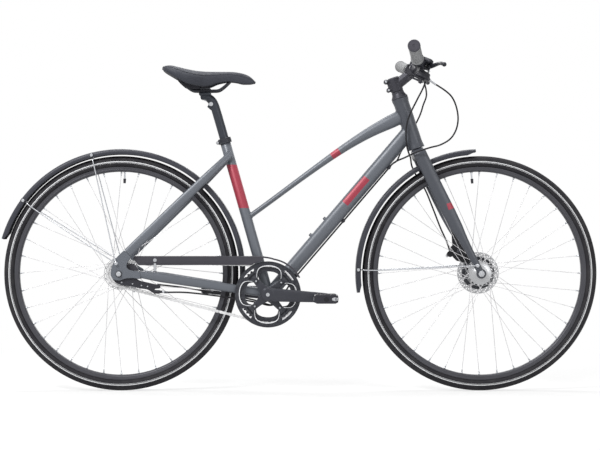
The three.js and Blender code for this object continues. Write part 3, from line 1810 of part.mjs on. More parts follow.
function shifterCableStart() {
  const [out, forward, up] = nozzleEnd;
  return [
    barPlace(shifterFrame, out - 0.4, forward + 0.4, up),
    barPlace(shifterFrame, out - 8, forward + 8, up),
  ];
}

// The assembly

const bicycle = new THREE.Group();

function add(group, name, body, material) {
  group.add(meshOf(body, name, material));
}

function groupAt(place, parent = bicycle) {
  const group = new THREE.Group();
  group.position.copy(place);
  parent.add(group);
  return group;
}

add(bicycle, "head_tube", headTube(), paint);
add(bicycle, "top_tube", topTube(), paint);
add(bicycle, "down_tube", downTube(), paint);
add(bicycle, "seat_tube", seatTube(), paint);
add(bicycle, "bottom_bracket_shell", bottomBracketShell(), paint);
add(bicycle, "bottom_bracket_unit", bottomBracketUnit(), greyMetal);
add(bicycle, "headset_bearing_lower", headsetBearing(forkLength + touch), silver);
add(bicycle, "headset_bearing_upper", headsetBearing(headTop - bearingHeight + touch), silver);
for (const [name, side] of [
  ["right", -1],
  ["left", 1],
]) {
  add(bicycle, `chainstay_${name}`, chainstay(side), paint);
  add(bicycle, `seatstay_${name}`, seatstay(side), paint);
}
add(bicycle, "seat_clamp", seatClamp(), darkMetal);
add(bicycle, "seatpost", seatpost(), darkMetal);
add(bicycle, "rail_clamp", railClamp(), darkMetal);
add(bicycle, "saddle_rails", saddleRails(), greyMetal);
add(bicycle, "saddle", saddle(), seatCover);
add(bicycle, "chain", chain(), silver);
add(bicycle, "chain_cover", chainCover(), black);
add(bicycle, "front_brake_cable", wire(frontBrakeCableRun, cableRadius, 5, 27), cableCover);
add(bicycle, "rear_brake_cable", wire(rearBrakeCableRun, cableRadius, 5, 42), cableCover);
add(bicycle, "gear_cable", wire(gearCableRun, cableRadius, 5, 44), cableCover);

const steering = groupAt(rakePoint);
steering.rotation.y = headAngle - Math.PI / 2;
add(steering, "fork", fork(), paint);
add(steering, "headset_spacer", headsetSpacer(), darkMetal);
add(steering, "stem", stem(), darkMetal);
add(steering, "handlebar", handlebar(), darkMetal);
for (const [name, side] of [
  ["right", -1],
  ["left", 1],
]) {
  add(steering, `grip_${name}`, gripSolid(side), grip);
  add(steering, `brake_perch_${name}`, perch(side), black);
  add(steering, `brake_lever_${name}`, brakeLever(side), black);
}
add(steering, "shift_lever_thumb", shiftLever(podBottom - touch, 50, 15, 22, 0), black);
add(steering, "shift_lever_release", shiftLever(podBottom - 8, 30, 12, 0, 10), black);

const frontWheel = groupAt(frontAxle);
add(frontWheel, "front_axle", frontAxleSolid(), silver);
add(frontWheel, "front_tyre", tyre(), rubber);
add(frontWheel, "front_rim", rim(), black);
add(frontWheel, "front_hub", hub(frontHubFlangeRadius, frontHubHalfFlange, frontHubHalfWidth, frontHubBodyRadius), silver);
add(frontWheel, "front_disc", brakeDisc(), silver);
add(frontWheel, "front_caliper", frontCaliper(), black);
add(frontWheel, "front_fender", frontFender(), fenderFinish);
add(frontWheel, "front_fender_stays", frontFenderStays(), silver);
const frontArm = groupAt(frontBrakePivot, frontWheel);
add(frontArm, "front_brake_arm", frontBrakeArm(), silver);

const rearWheel = groupAt(rearAxle);
add(rearWheel, "rear_axle", rearAxleSolid(), silver);
add(rearWheel, "rear_tyre", tyre(), rubber);
add(rearWheel, "rear_rim", rim(), black);
add(rearWheel, "rear_hub", hub(rearHubFlangeRadius, rearHubHalfFlange, rearHubHalfWidth, rearHubBodyRadius), silver);
add(rearWheel, "rear_cog", cog(), silver);
add(rearWheel, "shift_pulley", shiftPulley(), darkMetal);
add(rearWheel, "shift_joint_arm", shiftJointArm(), black);
add(rearWheel, "rear_brake", rearBrake(), greyMetal);
add(rearWheel, "rear_fender", rearFender(), fenderFinish);
add(rearWheel, "rear_fender_stays", rearFenderStays(), silver);
const rearArm = groupAt(at(rearBrakePivot[0], 0, rearBrakePivot[1]), rearWheel);
add(rearArm, "rear_brake_arm", rearBrakeArm(), silver);

const crankset = groupAt(bottomBracket);
add(crankset, "chainring", chainring(), darkMetal);
add(crankset, "chain_guard_disc", guardDisc(), black);
add(crankset, "crank_right", crankRight(), darkMetal);
add(crankset, "crank_left", crankLeft(), darkMetal);
for (const [name, side] of [
  ["right", -1],
  ["left", 1],
]) {
  const reach = side < 0 ? crankLength : -crankLength;
  const place = at(
    reach * Math.cos(crankTilt),
    side * (crankInside + crankThickness),
    -reach * Math.sin(crankTilt),
  );
  add(groupAt(place, crankset), `pedal_${name}`, pedal(side), black);
}

export default bicycle;
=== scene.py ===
"""The looks of a step through bicycle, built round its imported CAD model.

Lengths are in millimetres until a piece is made. +X is forward, +Y is the rider's left and +Z is up.
"""
import math

import bmesh
import bpy
import numpy as np
from mathutils import Matrix, Vector, geometry


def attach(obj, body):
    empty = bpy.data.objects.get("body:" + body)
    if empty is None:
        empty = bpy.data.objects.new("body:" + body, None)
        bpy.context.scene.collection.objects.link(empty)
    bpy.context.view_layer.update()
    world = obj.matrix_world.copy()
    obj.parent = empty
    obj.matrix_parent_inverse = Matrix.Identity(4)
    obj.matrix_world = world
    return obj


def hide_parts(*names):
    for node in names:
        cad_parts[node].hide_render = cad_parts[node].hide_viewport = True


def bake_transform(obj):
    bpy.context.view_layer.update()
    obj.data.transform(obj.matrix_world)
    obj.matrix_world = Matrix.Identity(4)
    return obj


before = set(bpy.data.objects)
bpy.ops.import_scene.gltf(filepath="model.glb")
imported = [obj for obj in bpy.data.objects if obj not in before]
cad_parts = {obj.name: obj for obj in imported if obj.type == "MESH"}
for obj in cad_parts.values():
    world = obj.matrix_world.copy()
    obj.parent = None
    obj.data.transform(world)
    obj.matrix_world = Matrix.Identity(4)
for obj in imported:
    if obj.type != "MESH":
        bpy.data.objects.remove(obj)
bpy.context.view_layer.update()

MM = 0.001
ORIGIN = Vector((0, 0, 0))
FORWARD = Vector((1, 0, 0))
LEFT = Vector((0, 1, 0))
UP = Vector((0, 0, 1))
SIDES = (("right", -1), ("left", 1))

# Camera, level and square to the right side, with its place in metres

CAMERA_PLACE = (-0.0011, -4.9, 0.4926)
LENS = 98.7
SENSOR_WIDTH = 36
VIEW_DEPTH = 50

camera_data = bpy.data.cameras.new("camera")
camera_data.sensor_width = SENSOR_WIDTH
camera_data.lens = LENS
camera_data.clip_end = VIEW_DEPTH
camera = bpy.data.objects.new("camera", camera_data)
camera.location = CAMERA_PLACE
camera.rotation_euler = (math.radians(90), 0, 0)
bpy.context.scene.collection.objects.link(camera)
bpy.context.scene.camera = camera

# Sizes and places that repeat the CAD model's

WHEELBASE = 1066
TYRE_RADIUS = 349
TYRE_WIDTH = 38
TYRE_MIDDLE = TYRE_RADIUS - TYRE_WIDTH / 2 - 0.2
RIM_INNER = 302
RIM_SEAT = 316
SEAT_ANGLE = math.radians(74.1)
HEAD_ANGLE = math.radians(71.5)
FORK_RAKE = 59.5
FORK_LENGTH = 411
HEAD_TUBE_LENGTH = 157
HEAD_TOP = FORK_LENGTH + HEAD_TUBE_LENGTH
SEAT_TUBE_LENGTH = 477
STEM_BOTTOM = 590
STEM_HEIGHT = 42
RING_TEETH = 42
COG_TEETH = 18
CHAIN_LINKS = 100
CHAIN_PITCH = 12.7
CHAIN_LINE = 45
CRANK_LENGTH = 170
CRANK_TILT = math.radians(3.1)
BRACKET_DROP = 61
FENDER_RADIUS = 369
FENDER_SKIRT = FENDER_RADIUS - 15
FENDER_HALF = 25
RAIL_HEIGHT = 891
CLAMP_CENTRE = -282
BOSS_PLACES, BOSS_TOP = (215, 279), 24
CLIP_PLACES = (95, 310, 519)


def at(x, y, z):
    return Vector((x, y, z))


def pitch_radius(teeth):
    return CHAIN_PITCH / (2 * math.sin(math.pi / teeth))


RING_RADIUS = pitch_radius(RING_TEETH)
COG_RADIUS = pitch_radius(COG_TEETH)


def chain_parts(centres):
    """The straight runs' lean, and the pitches on the ring, along one straight run and on the cog."""
    lean = math.asin((RING_RADIUS - COG_RADIUS) / centres)
    round_ring = RING_TEETH * (math.pi + 2 * lean) / (2 * math.pi)
    round_cog = COG_TEETH * (math.pi - 2 * lean) / (2 * math.pi)
    return lean, round_ring, centres * math.cos(lean) / CHAIN_PITCH, round_cog


# The length between the axles that a whole number of links fits
chainstay_length = 440.0
for _ in range(20):
    chain_lean, ring_part, straight_part, cog_part = chain_parts(chainstay_length)
    spare = CHAIN_LINKS - (2 * straight_part + ring_part + cog_part)
    chainstay_length += spare * CHAIN_PITCH / 2

rear_axle = at(-WHEELBASE / 2, 0, TYRE_RADIUS)
front_axle = at(WHEELBASE / 2, 0, TYRE_RADIUS)
bottom_bracket = rear_axle + at(math.sqrt(chainstay_length ** 2 - BRACKET_DROP ** 2), 0, -BRACKET_DROP)
seat_direction = at(-math.cos(SEAT_ANGLE), 0, math.sin(SEAT_ANGLE))
seat_behind = at(-math.sin(SEAT_ANGLE), 0, -math.cos(SEAT_ANGLE))
steer_up = at(-math.cos(HEAD_ANGLE), 0, math.sin(HEAD_ANGLE))
steer_forward = at(math.sin(HEAD_ANGLE), 0, math.cos(HEAD_ANGLE))
rake_point = front_axle - steer_forward * FORK_RAKE


def seat_point(distance, behind=0, y=0):
    return bottom_bracket + seat_direction * distance + seat_behind * behind + LEFT * y


def steer_point(forward, y, up):
    return rake_point + steer_forward * forward + steer_up * up + LEFT * y


def polar(radius, degrees, y=0, centre=ORIGIN):
    """A point round a centre, its angle measured from forward towards up."""
    angle = math.radians(degrees)
    return at(centre.x + radius * math.cos(angle), y, centre.z + radius * math.sin(angle))


def flat(points):
    """An outline in X and Z from points."""
    return [(p.x, p.z) for p in points]


def on_side(point, side):
    return at(point.x, side * point.y, point.z)


def both_ways(half):
    """A profile of (radius, place along Y) points and the same on the other side of the middle."""
    return half + [(radius, -y) for radius, y in half[::-1]]


def flipped(points):
    """The points on the other side of the bicycle."""
    return [on_side(p, -1) for p in points]


down_foot = bottom_bracket + at(3, 0, -2.6)
down_head = steer_point(0, 0, FORK_LENGTH + 58.5)
down_along = (down_head - down_foot).normalized()
down_up = at(-down_along.z, 0, down_along.x)


def down_point(distance, above, y=0):
    return down_foot + down_along * distance + down_up * above + LEFT * y


def blend(a, b, t):
    return a + (b - a) * t


# Shapes are lists of vertices and faces


def merged(*shapes):
    vertices, faces = [], []
    for more, its_faces in shapes:
        start = len(vertices)
        vertices.extend(more)
        faces.extend([tuple(i + start for i in face) for face in its_faces])
    return vertices, faces


def moved(shape, matrix):
    return [matrix @ p for p in shape[0]], shape[1]


def ring(centre, side, half_width, up, half_height, sides, power=1.0):
    """Points round an ellipse, squarer where power is below 1."""
    points = []
    for i in range(sides):
        angle = 2 * math.pi * i / sides
        c, s = math.cos(angle), math.sin(angle)
        c = math.copysign(abs(c) ** power, c)
        s = math.copysign(abs(s) ** power, s)
        points.append(centre + side * (half_width * c) + up * (half_height * s))
    return points


def loft(rows, closed=False, capped=True):
    count = len(rows[0])
    vertices = [p for row in rows for p in row]
    faces = []
    for row in range(len(rows) if closed else len(rows) - 1):
        after = (row + 1) % len(rows)
        for i in range(count):
            j = (i + 1) % count
            faces.append((row * count + i, row * count + j, after * count + j, after * count + i))
    if capped and not closed:
        faces.append(tuple(range(count))[::-1])
        faces.append(tuple(range(len(vertices) - count, len(vertices))))
    return vertices, faces


def spline(points, steps, closed=False):
    """Centripetal curve through points, as evenly spaced points and their tangents."""
    points = [Vector(p) for p in points]
    count = len(points)
    spans = count if closed else count - 1
    fine = []
    per_span = max(24, 4 * steps // spans)
    for span in range(spans):
        p1, p2 = points[span], points[(span + 1) % count]
        p0 = points[span - 1] if closed or span else p1 * 2 - p2
        p3 = points[(span + 2) % count] if closed or span + 2 < count else p2 * 2 - p1
        d0, d1, d2 = (max((b - a).length ** 0.5, 1e-4) for a, b in ((p0, p1), (p1, p2), (p2, p3)))
        t1 = ((p1 - p0) / d0 - (p2 - p0) / (d0 + d1) + (p2 - p1) / d1) * d1
        t2 = ((p2 - p1) / d1 - (p3 - p1) / (d1 + d2) + (p3 - p2) / d2) * d1
        for i in range(per_span):
            u = i / per_span
            fine.append(
                p1 + t1 * u + (p2 * 3 - p1 * 3 - t1 * 2 - t2) * u ** 2 + (p1 * 2 - p2 * 2 + t1 + t2) * u ** 3
            )
    fine.append(points[0] if closed else points[-1])
    fine = np.array(fine)
    lengths = np.concatenate([[0], np.cumsum(np.linalg.norm(np.diff(fine, axis=0), axis=1))])
    places = np.linspace(0, lengths[-1], steps + 1)
    even = np.stack([np.interp(places, lengths, fine[:, axis]) for axis in range(3)], axis=1)
    slopes = np.gradient(even, axis=0)
    if closed:
        slopes[0] = slopes[-1] = even[1] - even[-2]
        even, slopes = even[:-1], slopes[:-1]
    return [Vector(p) for p in even], [Vector(t).normalized() for t in slopes]


def transported(tangents, first):
    """Sideways directions carried along a curve without twist."""
    side = (first - tangents[0] * first.dot(tangents[0])).normalized()
    sides = []
    for tangent in tangents:
        side = (side - tangent * side.dot(tangent)).normalized()
        sides.append(side)
    return sides


def wire(points, radius, sides, steps, closed=False):
    """A round tube along a curve."""
    centres, tangents = spline(points, steps, closed)
    along = tangents[0]
    guess = FORWARD if abs(along.y) > 0.9 else LEFT
    rows = [
        ring(centre, side, radius, side.cross(tangent), radius, sides)
        for centre, tangent, side in zip(centres, tangents, transported(tangents, guess))
    ]
    return loft(rows, closed)


def tube_rows(points, steps, sides, size_at, power=1.0):
    """Rows of a tapered tube, wide along Y, that size_at gives the half height and half width of."""
    centres, tangents = spline(points, steps)
    rows = []
    for i, (centre, tangent) in enumerate(zip(centres, tangents)):
        side = (LEFT - tangent * tangent.y).normalized()
        height, width = size_at(i / steps)
        rows.append(ring(centre, side, width, side.cross(tangent), height, sides, power))
    return rows


def rod(a, b, radius, sides=24, end_radius=None, edge=0.6):
    """A round bar with small chamfers at its ends."""
    end_radius = radius if end_radius is None else end_radius
    along = (b - a).normalized()
    side = FORWARD if abs(along.y) > 0.9 else LEFT
    side = (side - along * side.dot(along)).normalized()
    up = side.cross(along)
    edge = min(edge, (b - a).length / 3, radius / 2)
    rows = [
        ring(a, side, radius - edge, up, radius - edge, sides),
        ring(a + along * edge, side, radius, up, radius, sides),
        ring(b - along * edge, side, end_radius, up, end_radius, sides),
        ring(b, side, end_radius - edge, up, end_radius - edge, sides),
    ]
    return loft(rows)


def cross_rod(x, z, from_y, to_y, radius, sides=24, edge=0.6):
    return rod(at(x, from_y, z), at(x, to_y, z), radius, sides, edge=edge)


def basis(origin, direction, facing=None):
    """Places a shape built round the origin: its Y goes along direction, its X near facing."""
    y = direction.normalized()
    facing = facing or (FORWARD if abs(y.x) < 0.9 else UP)
    x = (facing - y * facing.dot(y)).normalized()
    z = x.cross(y)
    return Matrix(
        ((x.x, y.x, z.x, origin.x), (x.y, y.y, z.y, origin.y), (x.z, y.z, z.z, origin.z), (0, 0, 0, 1))
    )


def lathe(profile, segments, place=None, closed=True):
    """A profile of (radius, place along Y) points turned round the Y axis."""
    rows = [[at(x, y, z) for x, z in circle(radius, segments)] for radius, y in profile]
    shape = loft(rows, closed=closed, capped=False)
    return moved(shape, place) if place else shape


def area_of(loop):
    return sum(a[0] * b[1] - b[0] * a[1] for a, b in zip(loop, loop[1:] + loop[:1])) / 2


def corners_of(loop):
    """Each corner of a closed outline, between its neighbours."""
    for i, corner in enumerate(loop):
        yield Vector(loop[i - 1]), Vector(corner), Vector(loop[(i + 1) % len(loop)])


def inset(loop, distance):
    """The loop moved to its left by a small distance."""
    made = []
    for before, here, after in corners_of(loop):
        d1, d2 = (here - before).normalized(), (after - here).normalized()
        n1, n2 = Vector((-d1.y, d1.x)), Vector((-d2.y, d2.x))
        scale = distance / max(1 + n1.dot(n2), 0.5)
        made.append(tuple(here + (n1 + n2) * scale))
    return made


def prism(outline, y0, y1, holes=(), edge=0.5):
    """A flat plate with chamfered edges: its outline lies in X and Z and it fills y0 to y1."""
    low, high = min(y0, y1), max(y0, y1)
    edge = min(edge, (high - low) / 3)
    loops = [list(outline) if area_of(list(outline)) > 0 else list(outline)[::-1]]
    loops += [list(hole) if area_of(list(hole)) < 0 else list(hole)[::-1] for hole in holes]
    layers = [(low, edge), (low + edge, 0), (high - edge, 0), (high, edge)]
    vertices, faces = [], []
    starts = []
    for loop in loops:
        starts.append(len(vertices))
        for y, distance in layers:
            vertices.extend(at(x, y, z) for x, z in (inset(loop, distance) if distance else loop))
        count = len(loop)
        for layer in range(3):
            a = starts[-1] + layer * count
            for i in range(count):
                j = (i + 1) % count
                faces.append((a + i, a + j, a + count + j, a + count + i))
    for layer in (0, 3):
        corners = [
            [start + layer * len(loop) + i for i in range(len(loop))] for start, loop in zip(starts, loops)
        ]
        drawn = [[Vector((vertices[i].x, vertices[i].z, 0)) for i in loop] for loop in corners]
        in_order = [i for loop in corners for i in loop]
        for triangle in geometry.tessellate_polygon(drawn):
            faces.append(tuple(in_order[i] for i in triangle))
    return vertices, faces


def circle(radius, count, centre=ORIGIN):
    angles = [2 * math.pi * i / count for i in range(count)]
    return [(centre.x + radius * math.cos(angle), centre.z + radius * math.sin(angle)) for angle in angles]


def rounded(points, radius, steps=4):
    """A closed outline with its corners rounded."""
    made = []
    for before, here, after in corners_of(points):
        cut = min(radius, (before - here).length / 2.2, (after - here).length / 2.2)
        a = here + (before - here).normalized() * cut
        b = here + (after - here).normalized() * cut
        for k in range(steps + 1):
            t = k / steps
            made.append(tuple(a * (1 - t) ** 2 + here * (2 * t * (1 - t)) + b * t ** 2))
    return made


def block(low, high, place=None, edge=0.8):
    """A box with chamfered edges between two corners, in place's axes."""
    lo = at(*(min(a, b) for a, b in zip(low, high)))
    hi = at(*(max(a, b) for a, b in zip(low, high)))
    outline = [(lo.x, lo.z), (hi.x, lo.z), (hi.x, hi.z), (lo.x, hi.z)]
    shape = prism(
        rounded(outline, min(edge * 2, (hi.x - lo.x) / 3, (hi.z - lo.z) / 3), 2), lo.y, hi.y, edge=edge,
    )
    return moved(shape, place) if place else shape


def bolt(place, radius, height):
    """A socket head bolt standing along place's Y."""
    inner = radius * 0.52
    profile = [
        (0, -0.5), (radius, -0.5), (radius, height - 0.5), (radius - 0.5, height), (inner, height),
        (inner, height * 0.35), (0, height * 0.35),
    ]
    return lathe(profile, 20, place, closed=False)


def nut(place, radius, height):
    """A six sided nut with rounded ends along place's Y."""
    return moved(prism(rounded(circle(radius, 6), radius * 0.12, 2), 0, height, edge=0.6), place)


# Pieces

def mesh_from(shape, name, smooth=35, weld=0.01):
    mesh = bpy.data.meshes.new(name)
    mesh.from_pydata([p * MM for p in shape[0]], [], shape[1])
    work = bmesh.new()
    work.from_mesh(mesh)
    if weld:
        bmesh.ops.remove_doubles(work, verts=work.verts, dist=weld * MM)
    bmesh.ops.dissolve_degenerate(work, edges=work.edges, dist=1e-7)
    bmesh.ops.recalc_face_normals(work, faces=work.faces)
    limit = math.radians(smooth)
    for face in work.faces:
        face.smooth = True
    for edge in work.edges:
        edge.smooth = len(edge.link_faces) == 2 and edge.calc_face_angle(0) < limit
    work.to_mesh(mesh)
    work.free()
    return mesh


def piece(name, shape, material, body, replaces=(), smooth=35, weld=0.01):
    """Makes one visible piece that rides on a body."""
    mesh = shape if isinstance(shape, bpy.types.Mesh) else mesh_from(shape, name, smooth, weld)
    mesh.name = name
    mesh.materials.clear()
    mesh.materials.append(material)
    made = bpy.data.objects.new(name, mesh)
    bpy.context.scene.collection.objects.link(made)
    if body:
        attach(made, body)
    if replaces:
        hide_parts(*([replaces] if isinstance(replaces, str) else replaces))
    return made


def through_modifiers(mesh, *modifiers):
    """The mesh after modifiers, each a type and its settings."""
    made = bpy.data.objects.new("work", mesh)
    bpy.context.scene.collection.objects.link(made)
    for kind, settings in modifiers:
        modifier = made.modifiers.new(kind, kind)
        for key, value in settings.items():
            setattr(modifier, key, value)
    bpy.context.view_layer.update()
    result = bpy.data.meshes.new_from_object(made.evaluated_get(bpy.context.evaluated_depsgraph_get()))
    bpy.data.objects.remove(made)
    result.shade_smooth()
    return result


def fused(parts, voxel, smoothing):
    """Overlapping solids as one cast or forged form with soft inside corners."""
    form = through_modifiers(
        mesh_from(merged(*parts), "fused"),
        ("REMESH", {"mode": "VOXEL", "voxel_size": voxel * MM, "use_smooth_shade": True}),
        ("SMOOTH", {"factor": 0.5, "iterations": smoothing}),
    )
    return [v.co / MM for v in form.vertices], [tuple(face.vertices) for face in form.polygons]


# Materials

# One frame paint in two greys: the lighter is the paint as the tubes show it lit from above, the darker is
# the same paint with painted shade, for the steep head tube and fork
FRAME_GREY = (92, 96, 103)
SHADED_FRAME_GREY = (66, 69, 76)
FLAKE = (118, 122, 130)
RED = (150, 50, 66)
DUST = (150, 148, 144)
BAND_BLUR = 0.3


def linear(colour):
    values = [c / 255 for c in colour]
    return [v / 12.92 if v <= 0.04045 else ((v + 0.055) / 1.055) ** 2.4 for v in values] + [1.0]


class Tree:
    """The nodes of a material or of the world, made one by one."""

    def __init__(self, owner, shader="Principled BSDF"):
        owner.use_nodes = True
        self.owner = owner
        self.nodes = owner.node_tree.nodes
        self.links = owner.node_tree.links
        self.shader = self.nodes[shader]

    def node(self, kind, inputs=(), **settings):
        made = self.nodes.new(kind)
        for key, value in settings.items():
            setattr(made, key, value)
        for key, value in dict(inputs).items():
            self.put(made.inputs[key], value)
        return made

    def put(self, socket, value):
        if isinstance(value, bpy.types.NodeSocket):
            self.links.new(value, socket)
        else:
            socket.default_value = value

    def position(self, scale=(1, 1, 1)):
        where = self.node("ShaderNodeTexCoord").outputs["Object"]
        if tuple(scale) == (1, 1, 1):
            return where
        return self.node("ShaderNodeMapping", {"Vector": where, "Scale": scale}).outputs[0]

    def noise(self, scale, detail, stretch=(1, 1, 1)):
        where = self.position(stretch)
        return self.node("ShaderNodeTexNoise", {"Vector": where, "Scale": scale, "Detail": detail}).outputs[0]

    def ranged(self, value, low, high, from_low=0.3, from_high=0.7):
        made = self.node(
            "ShaderNodeMapRange",
            {"Value": value, "From Min": from_low, "From Max": from_high, "To Min": low, "To Max": high},
        )
        return made.outputs[0]

    def math(self, operation, a, b=0.0):
        return self.node("ShaderNodeMath", {0: a, 1: b}, operation=operation).outputs[0]

    def mix(self, share, a, b):
        made = self.node("ShaderNodeMix", data_type="RGBA")
        for key, value in ((0, share), (6, a), (7, b)):
            self.put(made.inputs[key], value)
        return made.outputs[2]

    def varied(self, colour, vary, noise):
        """A colour in slow patches, each a little darker or lighter."""
        base = linear(colour)[:3]
        dark = [c * (1 - vary) for c in base] + [1]
        light = [min(1, c * (1 + vary)) for c in base] + [1]
        return self.mix(self.ranged(noise, 0, 1), dark, light)

    def seen(self):
        """One for rays from the camera, straight or by a glossy or clear piece, and nothing for others."""
        rays = self.node("ShaderNodeLightPath").outputs
        direct = self.math("MAXIMUM", rays["Is Camera Ray"], rays["Is Glossy Ray"])
        return self.math("MAXIMUM", direct, rays["Is Transmission Ray"])

    def bump(self, height, strength, distance):
        made = self.node("ShaderNodeBump", {"Height": height, "Strength": strength, "Distance": distance})
        self.put(self.shader.inputs["Normal"], made.outputs[0])

    def set(self, **values):
        for key, value in values.items():
            self.put(self.shader.inputs[key.replace("_", " ")], value)


def finish(name, colour, metallic=0.0, rough=0.5, vary=0.08, patch=9.0, grain=900.0, depth=0.00006,
           stretch=(1, 1, 1), worn=None, dust=0.0):
    """A surface with slow patches of tone, fine grain, uneven gloss and rubbed edges."""
    tree = Tree(bpy.data.materials.new(name))
    tone = tree.varied(colour, vary, tree.noise(patch, 4.0, stretch))
    if worn:
        point = tree.node("ShaderNodeNewGeometry").outputs["Pointiness"]
        rub = tree.math(
            "MULTIPLY", tree.ranged(point, 0, 1, 0.53, 0.6), tree.ranged(tree.noise(160, 5.0), 0, 0.7),
        )
        tone = tree.mix(rub, tone, linear(worn))
    if dust:
        soft = tree.ranged(tree.noise(35, 6.0), 0, dust, 0.45, 0.75)
        tone = tree.mix(soft, tone, linear(DUST))
    fine = tree.noise(grain, 2.0, stretch)
    tree.set(
        Base_Color=tone,
        Metallic=metallic,
        Roughness=tree.ranged(tree.noise(patch * 4, 5.0), rough - 0.06, rough + 0.06),
        Specular_IOR_Level=0.25,
    )
    tree.bump(fine, 0.35, depth)
    return tree.owner


def slab(direction, origin, low, high):
    """A layer of space across a direction, between two distances from an origin."""
    start = origin.dot(direction)
    return direction, start + low, start + high


def painted(name, bands=(), colour=FRAME_GREY):
    """Satin metallic paint. Where all the slabs of a band overlap, it is red."""
    tree = Tree(bpy.data.materials.new(name))
    tone = tree.varied(colour, 0.07, tree.noise(5.0, 3.0))
    flake = tree.node("ShaderNodeTexVoronoi", {"Vector": tree.position(), "Scale": 2600.0})
    speck = tree.ranged(flake.outputs["Color"], 0, 0.1, 0.3, 1.0)
    tone = tree.mix(speck, tone, linear(FLAKE))
    where = tree.position()
    mask = None
    for slabs in bands:
        inside = None
        for direction, low, high in slabs:
            dot = tree.node("ShaderNodeVectorMath", {0: where, 1: tuple(direction)}, operation="DOT_PRODUCT")
            above = tree.ranged(dot.outputs["Value"], 0, 1, (low - BAND_BLUR) * MM, (low + BAND_BLUR) * MM)
            below = tree.ranged(dot.outputs["Value"], 1, 0, (high - BAND_BLUR) * MM, (high + BAND_BLUR) * MM)
            both = tree.math("MULTIPLY", above, below)
            inside = tree.math("MULTIPLY", inside, both) if inside else both
        mask = tree.math("MAXIMUM", mask, inside) if mask else inside
    if mask:
        tone = tree.mix(mask, tone, linear(RED))
    tree.set(
        Base_Color=tone,
        Metallic=0.15,
        Roughness=tree.ranged(tree.noise(30, 5.0), 0.38, 0.46),
        Specular_IOR_Level=0.4,
        Coat_Weight=0.12,
        Coat_Roughness=0.3,
    )
    tree.bump(tree.noise(300, 2.0), 0.08, 0.00003)
    return tree.owner


paint = painted("paint")
# The frame paint darkened as painted shade, for the steep head tube
shaded_paint = painted("paint_shaded", (), SHADED_FRAME_GREY)
cast_black = finish("cast_black", (22, 22, 26), 0, 0.6, vary=0.04)
black_metal = finish("black_metal", (40, 41, 47), 0.25, 0.42, worn=(104, 106, 110))
post_metal = finish("post_metal", (54, 57, 64), 0.3, 0.4)
dark_metal = finish("dark_metal", (60, 60, 66), 0.4, 0.4, worn=(110, 112, 116))
crank_metal = finish("crank_metal", (62, 63, 69), 0.4, 0.4, worn=(130, 131, 134))
silver = finish("silver", (188, 190, 194), 0.85, 0.28, vary=0.06, grain=1400, depth=0.00003)
brushed = finish(
    "brushed", (176, 177, 179), 0.85, 0.34, vary=0.08, grain=500, stretch=(1, 6, 1), depth=0.00003,
)
bright = finish("bright", (232, 233, 236), 0.3, 0.35, vary=0.03)
spoke_steel = finish("spoke_steel", (204, 203, 205), 0.45, 0.4, vary=0.04)
chain_steel = finish("chain_steel", (212, 212, 213), 0.5, 0.34, vary=0.1, patch=40, worn=(235, 235, 236))
rubber = finish("rubber", (36, 35, 39), 0.0, 0.78, vary=0.14, patch=14, grain=700, depth=0.0001, dust=0.05)
reflective = finish("reflective", (214, 215, 217), 0.0, 0.5, vary=0.04, grain=2500, depth=0.00004)
rim_black = finish("rim_black", (70, 70, 75), 0.3, 0.42)
grip_rubber = finish(
    "grip_rubber", (140, 141, 142), 0.0, 0.8, vary=0.07, patch=20, grain=1500, depth=0.0001, dust=0.1,
)
cap_rubber = finish("cap_rubber", (66, 65, 72), 0.0, 0.7, vary=0.08, patch=40, grain=1500, depth=0.0001)
grip_rubber_dark = finish(
    "grip_rubber_dark", (34, 34, 37), 0.0, 0.75, vary=0.1, patch=20, grain=1200, depth=0.0001,
)
plastic = finish("plastic", (44, 44, 50), 0.0, 0.5, vary=0.1, grain=2200, depth=0.00005)
cover_plastic = finish("cover_plastic", (62, 61, 67), 0.0, 0.5, vary=0.06, grain=2400, depth=0.00005)
fender_plastic = finish("fender_plastic", (54, 55, 62), 0.1, 0.42, vary=0.07, grain=2000, depth=0.00004)
cable_cover = finish("cable_cover", (24, 24, 28), 0.0, 0.5, vary=0.1, grain=1600)

# Frame tubes. Each ends a little inside the tube that it meets, with its weld a little outside

WELD_RISE, TUBE_REACH = 0.4, 1.5


def mitred(row, direction, origin, axis, radius):
    """Moves a row of points along direction until each meets a cylinder round an axis."""
    axis = axis.normalized()
    made = []
    for p in row:
        offset = p - origin
        a = direction - axis * direction.dot(axis)
        b = offset - axis * offset.dot(axis)
        qa, qb, qc = a.dot(a), 2 * a.dot(b), b.dot(b) - radius * radius
        root = qb * qb - 4 * qa * qc
        t = (-qb - math.sqrt(root)) / (2 * qa) if root > 0 else -qb / (2 * qa)
        made.append(p + direction * t)
    return made


def bead(points, radius=1.7):
    """A weld bead with ripples along a closed row of points."""
    centres, tangents = spline(points, 120, closed=True)
    rows = []
    side = transported(tangents, UP)
    for i, (centre, tangent) in enumerate(zip(centres, tangents)):
        size = radius * (1 + 0.16 * math.sin(i * 2 * math.pi / 4))
        rows.append(ring(centre, side[i], size, side[i].cross(tangent), size, 8))
    return loft(rows, closed=True)


def ended(rows, start, end=None):
    """Tube rows with one or both ends cut to meet a cylinder, and the weld rings there."""
    rings = []
    for cut, last, beside in ((start, 0, 1), (end, -1, -2)):
        if cut:
            place, axis, radius = cut
            direction = (rows[last][0] - rows[beside][0]).normalized()
            rings.append(mitred(rows[beside], direction, place, axis, radius + WELD_RISE))
            rows = list(rows)
            rows[last] = mitred(rows[beside], direction, place, axis, radius - TUBE_REACH)
    return rows, rings


shell_axis = (bottom_bracket, LEFT, 20)
seat_axis = (bottom_bracket, seat_direction, 15.5)
head_axis = (steer_point(0, 0, FORK_LENGTH), steer_up, 23)
welds = []


def trimmed(rows, keep_from, keep_to):
    return rows[keep_from:len(rows) - keep_to]


